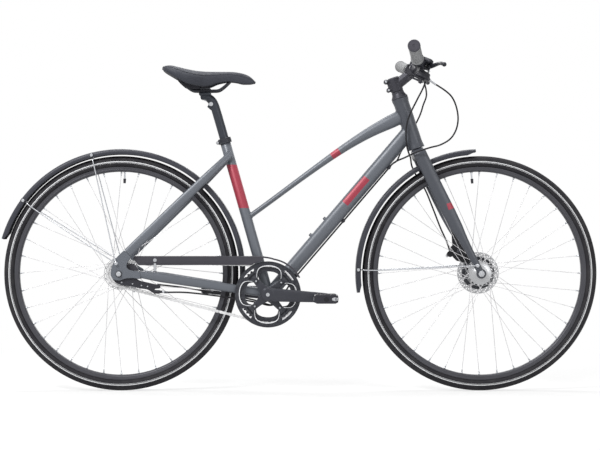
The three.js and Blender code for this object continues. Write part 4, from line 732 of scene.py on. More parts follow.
def open_loft(rows):
    """A tube whose first end stays open inside the tube that it meets."""
    vertices, faces = loft(rows, capped=False)
    faces.append(tuple(range(len(vertices) - len(rows[0]), len(vertices))))
    return vertices, faces


# Top tube, in a shallow S, with a short red band across it
top_band_along = at(0.83, 0, 0.56)
top_points = [
    seat_point(233), at(-84, 0, 567), at(5, 0, 633), at(94, 0, 697), at(154, 0, 737), at(213, 0, 772),
    steer_point(0, 0, HEAD_TOP - 50),
]
top_rows = tube_rows(top_points, 60, 32, lambda t: (blend(7.8, 24, t ** 3), blend(10, 15, t * t)))
rows, rings = ended(trimmed(top_rows, 3, 4), seat_axis, head_axis)
welds += [bead(r, 1.5) for r in rings]
top_shape = open_loft(rows)

# Down tube with bottle bosses and cable clips
down_rows = tube_rows(
    [down_foot, down_head], 36, 36, lambda t: (20 + 2 * t - 4 * max(0, 1 - 9 * t), 18), power=0.9
)
rows, rings = ended(trimmed(down_rows, 2, 2), shell_axis, head_axis)
welds += [bead(r, 1.9) for r in rings]
bosses = [rod(down_point(place, 10), down_point(place, BOSS_TOP), 5.5, 28, edge=0.8) for place in BOSS_PLACES]
down_shape = merged(loft(rows), *bosses)

piece(
    "top_tube_painted", top_shape,
    painted("paint_top", [[slab(top_band_along, at(93, 0, 697), 0, 28)]]),
    "frame", "top_tube", smooth=50,
)
piece(
    "down_tube_painted", down_shape,
    painted("paint_down", [[slab(down_along, down_foot, 352, 452), slab(down_up, down_foot, -5, 16)]]),
    "frame", "down_tube", smooth=50,
)

# Seat tube
rows, rings = ended(
    [
        ring(seat_point(place), LEFT, radius, seat_behind, radius, 40)
        for place, radius in ((6, 15.5), (40, 15.5), (SEAT_TUBE_LENGTH - 0.8, 15.5), (SEAT_TUBE_LENGTH, 14.7))
    ],
    shell_axis,
)
welds += [bead(r) for r in rings]
piece(
    "seat_tube_painted", loft(rows),
    painted("paint_seat", [[slab(UP, ORIGIN, 543, 672)]]),
    "frame", "seat_tube", smooth=50,
)

# Head tube with thick ends and machined lips
head_lip = [(24.2, 0), (25, 0.8), (25, 4), (24.6, 6), (23.4, 13), (23, 17)]
head_profile = [(17.3, 0), (17.3, HEAD_TUBE_LENGTH)]
head_profile += [(radius, HEAD_TUBE_LENGTH - y) for radius, y in head_lip] + head_lip[::-1]
# The head tube's paint is darkened as painted shade on its steep side, which gets less light
piece(
    "head_tube_painted", lathe(head_profile, 64, basis(steer_point(0, 0, FORK_LENGTH), steer_up)),
    shaded_paint, "frame", "head_tube", smooth=40,
)

# Bottom bracket shell
shell_profile = both_ways([(17.3, -34), (19.4, -34), (20, -33.4)])
piece(
    "bottom_bracket_shell_painted", lathe(shell_profile, 48, basis(bottom_bracket, LEFT)), paint, "frame",
    "bottom_bracket_shell", smooth=40,
)


# Chainstays, dropouts and their bridge
def chainstay_point(x, y):
    return at(x, y, bottom_bracket.z + 1 + 0.153 * (bottom_bracket.x - x))


def from_axle(corners):
    """An outline whose corners are given from the rear axle."""
    return [(rear_axle.x + x, rear_axle.z + z) for x, z in corners]


chainstay_run = [(-112, 24), (-150, 28), (-190, 31.5), (-260, 37.5), (-370, 52), (-475, 67)]
dropout_outline = [
    (62, -17), (62, 9), (38, 24), (34.9, 51.6), (16.3, 70.7), (-8, 47), (-21, 22), (-25, -2), (-18, -20),
    (0, -27), (26, -22),
]
driven_outline = [
    (64, -16), (62, 8), (44, 9), (30, 12), (22, 20), (24, 32), (33, 44), (34.9, 51.6), (16.3, 70.7), (-8, 47),
    (-21, 22), (-25, -2), (-17, -17), (2, -20), (20, -13), (44, -12),
]
seatstay_top, seatstay_foot = at(-212, 0, 697.5), at(-507, 0, 410.5)
seatstay_run = [(0, 17), (0.14, 36), (0.3, 45), (0.62, 58), (1, 70.5)]
for name, side in SIDES:
    stay_rows = tube_rows(
        [chainstay_point(x, side * y) for x, y in chainstay_run], 36, 28,
        lambda t: (blend(11.8, 13.6, t) - 4.5 * max(0, t - 0.82) / 0.18, 7 - 2.4 * max(0, t - 0.82) / 0.18),
        0.85,
    )
    corners = dropout_outline if side > 0 else driven_outline
    holes = [circle(5.3, 24, rear_axle)]
    if side > 0:
        holes.append(rounded(from_axle([(2, 26), (10, 44), (19, 40), (22, 24)]), 4, 4))
    drop = prism(rounded(from_axle(corners), 7, 5), side * 67.5, side * 73.5, holes, 0.9)
    stay = merged(loft(stay_rows), drop)
    if side > 0:
        middle = chainstay_point(-148, 0)
        stay = merged(stay, cross_rod(middle.x, middle.z, -24, 26, 6))
    piece(f"chainstay_{name}_painted", stay, paint, "frame", f"chainstay_{name}", smooth=40)

    up_rows = tube_rows(
        [blend(seatstay_top, seatstay_foot, t) + LEFT * side * y for t, y in seatstay_run], 40, 28,
        lambda t: (blend(10.3, 13.8 if side < 0 else 15, min(1, t / 0.45)), blend(8, 6.2, t)), 0.85,
    )
    up_rows, rings = ended(trimmed(up_rows, 1, 0), seat_axis)
    welds += [bead(r) for r in rings]
    stay = open_loft(up_rows)
    if side > 0:
        centre = blend(seatstay_top, seatstay_foot, 0.2)
        to_axle = (rear_axle - centre).normalized()
        reach = (rear_axle - centre).length - FENDER_RADIUS - 0.3
        stay = merged(
            stay, cross_rod(centre.x, centre.z, -38, 38, 6.5), rod(centre, centre + to_axle * reach, 5),
        )
    piece(f"seatstay_{name}_painted", stay, paint, "frame", f"seatstay_{name}", smooth=40)

piece("weld_beads", merged(*welds), paint, "frame")

# Places that pieces are built in: the steering frame, the two axles and the bottom bracket

STEER = Matrix((
    (steer_forward.x, 0, steer_up.x, rake_point.x), (0, 1, 0, 0),
    (steer_forward.z, 0, steer_up.z, rake_point.z), (0, 0, 0, 1),
))
FRONT, REAR, CRANKS = (Matrix.Translation(p) for p in (front_axle, rear_axle, bottom_bracket))

# Wheels, built round their own axle

SPOKES_A_SIDE = 18
SPOKE_STEP = 360 / SPOKES_A_SIDE
SPOKE_TURN = 40
FLANGE_EDGE = 3
DISC_WINDOWS, DISC_HOLE_ROWS = 10, 20
DISC_HOLES = ((59, 0), (55.5, 6), (52, 12))
FRONT_VALVE, REAR_VALVE = 94.5, 88
WIRE_RADIUS = 0.9


def tyre():
    """Shallow slanted grooves cross the tread between two rings of grooves."""
    turns = 480
    angles = [blend(-118, 118, k / 34) for k in range(35)]
    rows = []
    for i in range(turns):
        around = 360 * i / turns
        row = [polar(RIM_SEAT + 0.4, around, -11)]
        for degrees in angles:
            away = abs(degrees)
            slanted = (i / 5 + away / 26) % 1 < 0.24 and 15 < away < 58
            ringed = 8 < away < 14 or 58 < away < 64
            groove = 1.1 if slanted or ringed else 0
            bead_line = 0.5 if 88 < away < 96 else 0
            reach = TYRE_WIDTH / 2 - groove + bead_line
            angle = math.radians(degrees)
            row.append(polar(TYRE_MIDDLE + reach * math.cos(angle), around, reach * math.sin(angle)))
        row.append(polar(RIM_SEAT + 0.4, around, 11))
        rows.append(row)
    return loft(rows, closed=True)


def reflective_strip():
    """A band on both sidewalls that stands just off the rubber."""
    half = TYRE_WIDTH / 2 + 0.05
    angles = [math.radians(degrees) for degrees in (80, 85, 90, 95)]
    bands = []
    for side in (-1, 1):
        outer, inner = (
            [(TYRE_MIDDLE + reach * math.cos(angle), side * reach * math.sin(angle)) for angle in angles]
            for reach in (half + 0.25, half - 0.5)
        )
        bands.append(lathe(outer + inner[::-1], 180))
    return merged(*bands)


def rim():
    half = [
        (302.2, 2.0), (302, 5.5), (303.4, 9.2), (306.6, 11.8), (309, 12.4), (310, 12.0), (311, 12.5),
        (316.3, 12.5), (316.6, 11.9), (316, 11.2), (311.5, 11.0), (309.5, 8.0),
    ]
    return lathe(both_ways(half), 180)


def valve(degrees):
    """The stem, and the cap on its end."""
    inner, outer = polar(RIM_INNER - 34, degrees), polar(RIM_INNER + 4, degrees)
    along = (outer - inner).normalized()
    return merged(
        rod(inner + along * 12, outer, 2.6, 16),
        rod(outer - along * 7, outer - along * 4.2, 4.6, 6),
    ), rod(inner, inner + along * 14, 3.6, 16, 4.2)


def hub_angle(i, side):
    """The angle of a spoke's hole. The left flange is turned by half a step."""
    return i * SPOKE_STEP + (SPOKE_STEP / 2 if side > 0 else 0)


def spoke_ends(flange_radius, flange_y):
    """Where each spoke starts and ends, and the side of the flange that it lies on."""
    for side in (-1, 1):
        for i in range(SPOKES_A_SIDE):
            sense = 1 if i % 2 else -1
            start = polar(flange_radius - FLANGE_EDGE, hub_angle(i, side), side * flange_y + sense * 1.1)
            end = polar(RIM_INNER - 1.3, hub_angle(i, side) + sense * SPOKE_TURN, side * 3 + sense * 1.1)
            yield start, end, sense


def spokes(flange_radius, flange_y):
    made = []
    for hub_end, rim_end, sense in spoke_ends(flange_radius, flange_y):
        out = LEFT * sense
        through = hub_end - out * 4.2
        bend = [through, hub_end - out * 1.2, blend(hub_end, rim_end, 0.012) + out * 0.6]
        made.append(wire(bend + [blend(hub_end, rim_end, 0.04), rim_end], WIRE_RADIUS, 6, 26))
        made.append(rod(through - out * 0.9, through + out * 0.6, 2.1, 10))
    return merged(*made)


def nipples(flange_radius, flange_y):
    made = []
    for hub_end, rim_end, sense in spoke_ends(flange_radius, flange_y):
        back = (hub_end - rim_end).normalized()
        made.append(rod(rim_end + back * 11, rim_end + back * 3, 1.6, 8, 2.0))
        made.append(rod(rim_end + back * 3.2, rim_end - back * 2.5, 2.6, 8, 2.9))
    return merged(*made)


def flange(radius, y0, y1, bore):
    holes = [circle(bore, 40)]
    holes += [circle(1.5, 10, polar(radius - FLANGE_EDGE, hub_angle(i, y0))) for i in range(SPOKES_A_SIDE)]
    return prism(circle(radius, 90), y0, y1, holes, 1.0)


def front_hub():
    half = [
        (5.4, -46), (10.5, -46), (12.3, -45), (12.3, -36), (17, -34), (21, -31.5), (26, -29.6), (33.5, -29),
        (33.5, -24), (33, -20), (31.6, -17), (31.6, -9), (32.6, -8),
    ]
    return merged(lathe(both_ways(half), 72), flange(38, -29, -24, 30), flange(38, 24, 29, 30))


def rear_hub():
    barrel = [
        (5.4, -37), (10.5, -37), (12.3, -36), (24, -35.4), (30, -34.6), (36, -34.2), (43, -34), (43, -29),
        (43, -25), (41.5, -22), (41.5, -13), (42.6, -12), (42.6, 12), (41.5, 13), (41.5, 22), (43, 25),
        (43, 34), (36, 34.2), (24, 35.4), (12.3, 36), (10.5, 37), (5.4, 37),
    ]
    return merged(lathe(barrel, 84), flange(48, -34, -29, 40), flange(48, 29, 34, 40))


for name, place, hub, radius, flange_y, valve_at in (
    ("front", FRONT, front_hub(), 38, 26.5, FRONT_VALVE), ("rear", REAR, rear_hub(), 48, 31.5, REAR_VALVE),
):
    stem, cap = valve(valve_at)
    for what, shape, material, slot, node, smooth in (
        ("tyre_treaded", tyre(), rubber, "tyre_rubber", "tyre", 40),
        ("reflective_strips", reflective_strip(), reflective, "tyre_rubber", None, 60),
        ("rim_double_wall", rim(), rim_black, "black_metal", "rim", 40),
        ("valve", stem, silver, "black_metal", None, 35),
        ("valve_cap", cap, plastic, "black_metal", None, 35),
        ("hub_shell", hub, brushed, "silver_metal", "hub", 40),
        ("spokes", spokes(radius, flange_y), spoke_steel, "silver_metal", None, 60),
        ("nipples", nipples(radius, flange_y), silver, "silver_metal", None, 60),
    ):
        replaced = f"{name}_{node}" if node else ()
        piece(f"{name}_{what}", moved(shape, place), material, f"{name}_wheel", replaced, smooth)

# Axles with their nuts and washers

FRONT_NUTS, REAR_NUTS = 58.3, 73.8


def axle(nut_at, out, size):
    made = [cross_rod(0, 0, -nut_at - 7 - out, nut_at + 7 + out, 4.8, 28, edge=0.8)]
    for side in (-1, 1):
        made.append(nut(basis(at(0, side * nut_at, 0), LEFT * side), size, 6.6))
    return merged(*made)


def washers(nut_at, size):
    made = []
    for side in (-1, 1):
        place = basis(at(0, side * nut_at, 0), LEFT * side)
        made.append(lathe([(5, 0), (size + 1, 0), (size + 1, 1.2), (size, 1.8), (5, 1.8)], 36, place))
    return merged(*made)


piece(
    "front_axle_with_nuts", moved(axle(FRONT_NUTS, 2, 9.6), FRONT), silver, "fork_assembly",
    "front_axle",
)
piece("rear_axle_with_nuts", moved(axle(REAR_NUTS, 3, 8), REAR), silver, "frame", "rear_axle")
piece("front_washers", moved(washers(FRONT_NUTS, 9.6), FRONT), dark_metal, "fork_assembly")
piece("rear_washers", moved(washers(REAR_NUTS, 9), REAR), black_metal, "frame")

# Brake disc with its dark carrier seen through the windows
windows = []
for i in range(DISC_WINDOWS):
    corners = [(27, 0.2), (45, 0.05), (47.5, 0.4), (45, 0.7), (27, 0.75)]
    windows.append(
        rounded(flat(polar(r, (i + share) * (360 / DISC_WINDOWS)) for r, share in corners), 2.5, 3)
    )
drilled = [
    circle(2.1, 12, polar(r, i * (360 / DISC_HOLE_ROWS) + turn))
    for i in range(DISC_HOLE_ROWS) for r, turn in DISC_HOLES
]
piece(
    "front_disc_drilled",
    moved(prism(circle(62.5, 120), 37, 39, windows + drilled + [circle(13, 40)], 0.3), FRONT), brushed,
    "front_wheel", "front_disc",
)
carrier = prism(circle(48.5, 90), 33.4, 36.6, [circle(14, 40)], 0.6)
piece("front_disc_carrier", moved(carrier, FRONT), black_metal, "front_wheel")

# Fork, in the steering frame
CROWN_BOTTOM = FENDER_RADIUS + 8
blade_run = [(398, 45), (300, 49), (200, 52), (110, 55), (6, 57)]
blade_sizes = [
    (0, 19.5, 10.5), (0.3, 20.3, 10.5), (0.5, 20.2, 10.3), (0.62, 18.5, 9.8), (0.72, 14.5, 9),
    (0.83, 11.8, 8), (1, 10, 6.5),
]


def rake_at(up):
    return FORK_RAKE * (1 - up / (FORK_LENGTH + 4)) ** 1.2


def size_from(table, t):
    """Heights and widths read from a table of shares, eased between its entries."""
    for before, after in zip(table, table[1:]):
        if t <= after[0]:
            share = (t - before[0]) / (after[0] - before[0])
            return blend(before[1], after[1], share), blend(before[2], after[2], share)
    return table[-1][1:]


def turned(shape):
    """A plate made in X and Z turned so that its X goes along Y."""
    return [at(-p.y, p.x, p.z) for p in shape[0]], shape[1]


crown_outline = [
    (-57, 379), (-56, 395), (-46, 405), (-26, 406.7), (-20, 410.7), (20, 410.7), (26, 406.7), (46, 405),
    (56, 395), (57, 379), (34, 377), (28, 384), (-28, 384), (-34, 377),
]
fork_parts = [turned(prism(rounded(crown_outline, 8, 4), -18.5, 18.5, edge=3.5))]
for side in (-1, 1):
    points = [at(rake_at(up), side * y, up) for up, y in blade_run]
    fork_parts.append(loft(tube_rows(points, 40, 24, lambda t: size_from(blade_sizes, t))))
to_axle = at(FORK_RAKE, 0, -CROWN_BOTTOM).normalized()
reach = math.hypot(FORK_RAKE, CROWN_BOTTOM) - FENDER_RADIUS - 0.3
fork_parts.append(rod(at(0, 0, CROWN_BOTTOM + 10), at(0, 0, CROWN_BOTTOM) + to_axle * reach, 6))
fork_form = fused(fork_parts, 1.8, 8)

fork_rest = [rod(at(0, 0, FORK_LENGTH - 14), at(0, 0, STEM_BOTTOM + STEM_HEIGHT - 2), 14.3, 32)]
for side in (-1, 1):
    dropout = [(6, 50.6), (6, 58), (13.6, 58), (14.5, 57.2), (14.5, 51.4), (13.6, 50.6)]
    place = Matrix.Translation(FORWARD * FORK_RAKE)
    fork_rest.append(lathe([(radius, side * y) for radius, y in dropout], 40, place))
for x, z in ((39, 99.6), (49, 62)):
    fork_rest.append(cross_rod(x, z, 44.8, 54, 5))
# The fork's paint is the frame paint darkened as painted shade on its steep blades, with a red band across it
shaded_fork_paint = painted("paint_fork_shaded", [[
    slab(steer_up, steer_point(0, 0, 209), 0, 19), slab(steer_forward, steer_point(27, 0, 0), 0, 60),
]], SHADED_FRAME_GREY)
piece(
    "fork_painted", moved(merged(fork_form, *fork_rest), STEER), shaded_fork_paint, "fork_assembly",
    "fork", smooth=40, weld=0,
)

# Spacer, stem and bar

spacer_bottom = HEAD_TOP + 0.3
spacer_height = STEM_BOTTOM - 0.3 - spacer_bottom
spacer = lathe(
    [
        (14.8, 0), (24, 0), (25, 1), (25, 3.6), (24.2, 5), (21, spacer_height * 0.45),
        (18.9, spacer_height * 0.7), (18.5, spacer_height * 0.72 + 1), (18.5, spacer_height - 0.6),
        (17.9, spacer_height), (14.8, spacer_height),
    ],
    64, basis(at(0, 0, spacer_bottom), UP),
)
piece(
    "headset_spacer_turned", moved(spacer, STEER), dark_metal, "fork_assembly",
    "headset_spacer",
)

stem_middle = STEM_BOTTOM + STEM_HEIGHT / 2
bar_centre = at(73.8, 0, stem_middle + 24.3)
stem_parts = [
    rod(at(0, 0, STEM_BOTTOM), at(0, 0, STEM_BOTTOM + STEM_HEIGHT), 18.5, 40, edge=1.5),
    rod(at(6, 0, stem_middle), bar_centre + at(-8, 0, -3), 16, 32, 15),
    rod(bar_centre - LEFT * 22, bar_centre + LEFT * 22, 20.9, 40, edge=1.5),
    block(at(-22.5, -7, STEM_BOTTOM + 5), at(-10, 7, STEM_BOTTOM + STEM_HEIGHT - 5), edge=2),
]
bolt_heights = (STEM_BOTTOM + 12, STEM_BOTTOM + STEM_HEIGHT - 4)
cap_bolts = [bar_centre + at(16, y, up) for y in (-13, 13) for up in (-15.5, 15.5)]
stem_parts += [cross_rod(-24, z, -11.6, 11.6, 6.8, 28) for z in bolt_heights]
stem_parts += [rod(place - FORWARD * 14, place, 4.6, 16) for place in cap_bolts]
stem_form = fused(stem_parts, 1.1, 5)
piece(
    "stem_forged", moved(stem_form, STEER), dark_metal, "fork_assembly", "stem", smooth=50,
    weld=0,
)
stem_bolts = [cross_rod(-24, z, -12.6, 12.6, 3.4, 28) for z in bolt_heights]
stem_bolts += [bolt(basis(place, FORWARD, LEFT), 3.6, 3) for place in cap_bolts]
piece("stem_bolts", moved(merged(*stem_bolts), STEER), silver, "fork_assembly")
cap = lathe([(0, 0), (17.4, 0), (17.6, 1.2), (16, 3.2), (5.2, 3.8), (4.6, 2.6), (0, 2.6)], 48,
            basis(at(0, 0, STEM_BOTTOM + STEM_HEIGHT - 1.4), UP), closed=False)
piece("steerer_cap", moved(cap, STEER), black_metal, "fork_assembly")

bar_tip = at(59.6, 305, 679.5)
bar_bend = at(bar_centre.x - 0.4, 119, bar_centre.z)
bar_out = (bar_tip - bar_bend).normalized()


def bar_point(y):
    return bar_bend + bar_out * ((y - bar_bend.y) / bar_out.y)


half_bar = [bar_centre + LEFT * y for y in (0, 24, 48, 72, 96, 108)] + [
    bar_bend + at(0, -4, 0.2), bar_point(124), bar_point(134), bar_point(160), bar_point(200), bar_point(250),
    bar_tip,
]
whole_bar = flipped(half_bar[:0:-1]) + half_bar


def bar_radius(y):
    away = abs(y)
    if away < 28:
        return 15.9
    share = min(1, (away - 28) / 20)
    return blend(15.9, 11.1, share * share * (3 - 2 * share))


centres, tangents = spline(whole_bar, 220)
rows = []
for centre, tangent in zip(centres, tangents):
    side = (FORWARD - tangent * tangent.x).normalized()
    size = bar_radius(centre.y)
    rows.append(ring(centre, side, size, side.cross(tangent), size, 32))
piece(
    "handlebar_tube", moved(loft(rows), STEER), dark_metal, "fork_assembly", "handlebar",
    smooth=60,
)

# Grips: fine ribs between a flange and a ribbed end, and a dark cap

GRIP_LENGTH = 128
grip_profile = [(12, 0), (18.4, 0), (19, 0.8), (19, 3.8), (18.2, 5), (16.6, 6.2)]
for i in range(26):
    y = 8 + i * 4.2
    grip_profile += [(16.4, y), (17.15, y + 0.8), (17.15, y + 2.6), (16.4, y + 3.4)]
grip_profile += [(16.6, 117.6), (18, 118.4), (18, 121), (16.9, 122), (12, 122)]
cap_profile = [
    (12, 122.4), (17.3, 122.4), (18, 123.2), (18, 126), (16.8, 127.4), (14, 128), (13.4, 127.4), (4, 127.4),
    (3, 126.4), (0, 126), (0, 124),
]
for name, side in SIDES:
    start = on_side(bar_tip + bar_out * (3.3 - GRIP_LENGTH), side)
    place = basis(start, on_side(bar_out, side))
    piece(f"grip_{name}_ribbed", moved(lathe(grip_profile, 56, place), STEER), grip_rubber, "fork_assembly",
          f"grip_{name}", smooth=25)
    piece(
        f"grip_{name}_cap", moved(lathe(cap_profile, 48, place, closed=False), STEER), cap_rubber,
        "fork_assembly",
    )

# Brake levers and their perches


class BarFrame:
    """Axes at a place on the bar: out along it, towards the lever, and up across both."""

    def __init__(self, side, y):
        self.origin = on_side(bar_point(y), side)
        self.out = on_side(bar_out, side)
        toward = at(1, 0, -1)
        self.to_lever = (toward - self.out * toward.dot(self.out)).normalized()
        self.turn = self.to_lever.cross(self.out) * side

    def point(self, outward, forward, up):
        return self.origin + self.out * outward + self.to_lever * forward + self.turn * up

    def slab(self, outward, forward, up, edge=1.5):
        """A rounded block between ranges out, forward and up."""
        (x0, x1), (z0, z1) = outward, forward
        return self.plate([(x0, z0), (x1, z0), (x1, z1), (x0, z1)], up, edge, 3)

    def plate(self, outline, up, edge=1.0, corner=3.0):
        """A plate with its outline out and forward, between two heights."""
        vertices, faces = prism(rounded(outline, corner, 4), *up, edge=edge)
        return [self.point(p.x, p.z, p.y) for p in vertices], faces


PERCH_PLACE = 158
PIVOT_OUT, PIVOT_FORWARD = -12, 33
LEVER_STEPS = 60
ADJUSTER_END = (-36, 26, 0)
lever_run = [
    (PIVOT_OUT, PIVOT_FORWARD, 1), (6, 46, 5), (34, 60, 7), (72, 73, 3), (104, 84, -3), (122, 95, -7),
]
SHIFTER = BarFrame(-1, PERCH_PLACE - 26)
POD_FORWARD, POD_TOP, POD_BOTTOM = 27, -14, -34
NOZZLE_START = (-24, POD_FORWARD + 16, POD_BOTTOM + 10)
NOZZLE_END = (-30, POD_FORWARD + 22, POD_BOTTOM + 10)

for name, side in SIDES:
    bar = BarFrame(side, PERCH_PLACE)
    parts = [
        rod(bar.point(-7.5, 0, 0), bar.point(7.5, 0, 0), 16.6, 36, edge=1.5),
        bar.plate([(-20, 8), (6, 8), (6, 18), (-3, 24), (-20, 24)], (-9, 9), 2.5),
        rod(bar.point(0, -9, -2), bar.point(0, -19, -2), 5.5, 20),
        rod(bar.point(-13, 19, 0), bar.point(-24, 22.5, 0), 6.2, 24),
        bar.slab((-9, 7), (-10, 14), (8, 20), 2.5),
        rod(bar.point(-1, -8, 12), bar.point(-1, -9, 33), 6.2, 24, edge=2),
        bar.plate([(-18, 6), (4, 6), (10, 34), (-2, 42), (-18, 36)], (8, 21), 3),
    ]
    for up in (-1, 1):
        parts.append(bar.plate(
            [(-21, 17), (-4, 17), (-3, 33), (-8, 40), (-16, 40), (-21, 33)],
            sorted((up * 6.3, up * 9.5)), 1.0, 4,
        ))
    if side < 0:
        parts += [
            SHIFTER.slab((-4, 24), (13, 24), (POD_TOP - 6, POD_TOP + 10), 2),
            rod(SHIFTER.point(-14, POD_FORWARD + 6, POD_BOTTOM + 10), SHIFTER.point(*NOZZLE_START), 6),
        ]
    piece(
        f"brake_perch_{name}_cast", moved(fused(parts, 0.9, 4), STEER), black_metal, "fork_assembly",
        f"brake_perch_{name}", smooth=50, weld=0,
    )
    bits = [
        rod(bar.point(PIVOT_OUT, PIVOT_FORWARD, -10.4), bar.point(PIVOT_OUT, PIVOT_FORWARD, 10.4), 3, 20),
        rod(bar.point(-24, 22.5, 0), bar.point(-29, 24, 0), 4.6, 20),
        rod(bar.point(-29.4, 24.1, 0), bar.point(*ADJUSTER_END), 5.2, 12, 4.2),
        bolt(basis(bar.point(0, -17, 5), bar.turn, bar.out), 3.6, 3.4),
    ]
    if side < 0:
        bits.append(rod(SHIFTER.point(*NOZZLE_START), SHIFTER.point(*NOZZLE_END), 4.6, 16, 3.8))
        bits.append(rod(SHIFTER.point(10, 18, POD_TOP + 10), SHIFTER.point(10, 18, POD_TOP + 12.5), 3.4, 20))
    piece(f"perch_{name}_fittings", moved(merged(*bits), STEER), silver, "fork_assembly")

    centres, tangents = spline([bar.point(*place) for place in lever_run], LEVER_STEPS)
    rows = []
    for i, (centre, tangent) in enumerate(zip(centres, tangents)):
        t = i / LEVER_STEPS
        across = bar.turn.cross(tangent).normalized()
        tall = blend(7.4, 5.4, min(1, t * 1.4)) if t < 0.9 else blend(5.4, 5.6, (t - 0.9) / 0.1)
        thick = blend(5.2, 3.6, min(1, t * 1.6)) if t < 0.9 else blend(3.6, 5.2, (t - 0.9) / 0.1)
        rows.append(ring(centre, bar.turn, tall, across, thick, 20, 0.85))
    ball = [(6.5 * math.sin(math.pi * k / 12), 6.5 * math.cos(math.pi * k / 12)) for k in range(13)]
    knob = lathe(ball, 24, basis(bar.point(*lever_run[-1]), bar.turn), closed=False)
    boss = rod(bar.point(PIVOT_OUT, PIVOT_FORWARD, -6), bar.point(PIVOT_OUT, PIVOT_FORWARD, 6), 6.7, 28)
    cam = bar.plate([(-17, 28), (-6, 28), (4, 38), (2, 45), (-8, 41)], (-4, 4), 1.2, 3)
    piece(f"brake_lever_{name}_blade", moved(merged(loft(rows), knob, boss, cam), STEER), black_metal,
          f"{name}_brake_lever", f"brake_lever_{name}", smooth=50)

pod_profile = [
    (0, 0), (15.5, 0), (17.6, 1), (18.4, 3), (19.6, 9), (20.2, 9.4), (20.2, 11), (19.9, 11.4), (21.4, 17.5),
    (21, 19.2), (19.6, 20), (0, 20),
]
pod_parts = [
    lathe(
        pod_profile, 60, basis(SHIFTER.point(0, POD_FORWARD, POD_TOP), -SHIFTER.turn, SHIFTER.out),
        closed=False,
    ),
    rod(SHIFTER.point(0, POD_FORWARD, POD_BOTTOM - 16), SHIFTER.point(0, POD_FORWARD, POD_BOTTOM + 1), 5, 24),
]
piece("shifter_pod", moved(merged(*pod_parts), STEER), plastic, "fork_assembly", smooth=40)


def shift_lever(top, reach, width, pad_height, drop, rib_count):
    """An arm under the pod that ends in a ribbed pad, raised or let down."""
    low = top - 4
    back = POD_FORWARD - reach
    half = width / 2
    one_side = [
        (half, back - 5), (half * 0.8, POD_FORWARD - 14), (half, POD_FORWARD), (half, POD_FORWARD + 8),
    ]
    outline = one_side + [(-x, z) for x, z in one_side[::-1]]
    made = [SHIFTER.plate(outline, (low, top), 0.9, 4)]
    levels = (top - 1, top + pad_height) if pad_height else (low - drop, low + 1)
    made.append(SHIFTER.slab((-half, half), (back - 5, back), levels, 1.5))
    for i in range(rib_count):
        level = blend(levels[0] + 3, levels[1] - 3, i / (rib_count - 1))
        made.append(
            SHIFTER.slab((-half + 2, half - 2), (back - 6, back - 4.6), (level - 0.8, level + 0.8), 0.3)
        )
    return merged(*made)


pad_outline = rounded(
    [(-24, -33.7), (-28, -22), (-22.8, -20), (-8.7, -27.4), (-1, -36), (-8.6, -43), (-18, -41)], 4, 4,
)
pad_form = prism(pad_outline, -7, 7, edge=1.4)
pad = [SHIFTER.point(p.y, p.x, p.z) for p in pad_form[0]], pad_form[1]
thumb_lever = merged(shift_lever(POD_BOTTOM - 0.3, 50, 15, 22, 0, 5), pad)
piece(
    "thumb_lever_pad", moved(thumb_lever, STEER), plastic, "thumb_shift_lever",
    "shift_lever_thumb",
)
piece(
    "release_lever_pad", moved(shift_lever(POD_BOTTOM - 8, 30, 12, 0, 10, 3), STEER), plastic,
    "release_shift_lever", "shift_lever_release",
)

# Chain drive

chain_along = (bottom_bracket - rear_axle).normalized()
line_angle = math.atan2(chain_along.z, chain_along.x)
upper_angle = line_angle + math.pi / 2 + chain_lean
lower_angle = line_angle - math.pi / 2 - chain_lean


def on_ring(angle):
    return polar(RING_RADIUS, math.degrees(angle), centre=bottom_bracket)


def on_cog(angle):
    return polar(COG_RADIUS, math.degrees(angle), centre=rear_axle)


def chain_point(pitches):
    """Where a pin lies, so many pitches after the upper end of the ring's arc."""
    if pitches < ring_part:
        return on_ring(upper_angle - pitches * 2 * math.pi / RING_TEETH)
    pitches -= ring_part
    if pitches < straight_part:
        return blend(on_ring(lower_angle), on_cog(lower_angle), pitches / straight_part)
    pitches -= straight_part
    if pitches < cog_part:
        return on_cog(lower_angle - pitches * 2 * math.pi / COG_TEETH)
    return blend(on_cog(upper_angle), on_ring(upper_angle), (pitches - cog_part) / straight_part)


first_on_cog = math.ceil(ring_part + straight_part)
cog_start = lower_angle - (first_on_cog - ring_part - straight_part) * 2 * math.pi / COG_TEETH


def link_outline(a, b, radius, waist):
    """A chain plate round two pins, drawn in between them."""
    along = (b - a).normalized()
    across = at(-along.z, 0, along.x)
    points = []
    for centre, turn in ((b, 0), (a, math.pi)):
        for k in range(-3, 4):
            angle = turn + k * math.radians(26)
            points.append(centre + along * (radius * math.cos(angle)) + across * (radius * math.sin(angle)))
        points.append((a + b) / 2 + across * (waist if turn == 0 else -waist))
    return flat(points)


plates, rollers = [], []
for i in range(CHAIN_LINKS):
    a, b = chain_point(i), chain_point((i + 1) % CHAIN_LINKS)
    outer = i % 2 == 1
    near = 3.3 if outer else 1.75
    for side in (-1, 1):
        y0 = -CHAIN_LINE + side * near
        outline = link_outline(a, b, 4.4 if outer else 4.2, 3.3 if outer else 3.0)
        plates.append(prism(outline, y0, y0 + side * 1.2, edge=0.25))
    rollers.append(cross_rod(a.x, a.z, -CHAIN_LINE - 1.7, -CHAIN_LINE + 1.7, 3.9, 14, edge=0.3))
    rollers.append(cross_rod(a.x, a.z, -CHAIN_LINE - 5.2, -CHAIN_LINE + 5.2, 1.8, 10, edge=0.4))
piece("chain_plates", merged(*plates), chain_steel, "frame", "chain")
piece("chain_rollers_and_pins", merged(*rollers), chain_steel, "frame")

# Sprockets

SEAT_RADIUS = 4.15
TOOTH_RISE = 3.2
SPROCKET_FACES = (-CHAIN_LINE - 1.1, -CHAIN_LINE + 1.1)


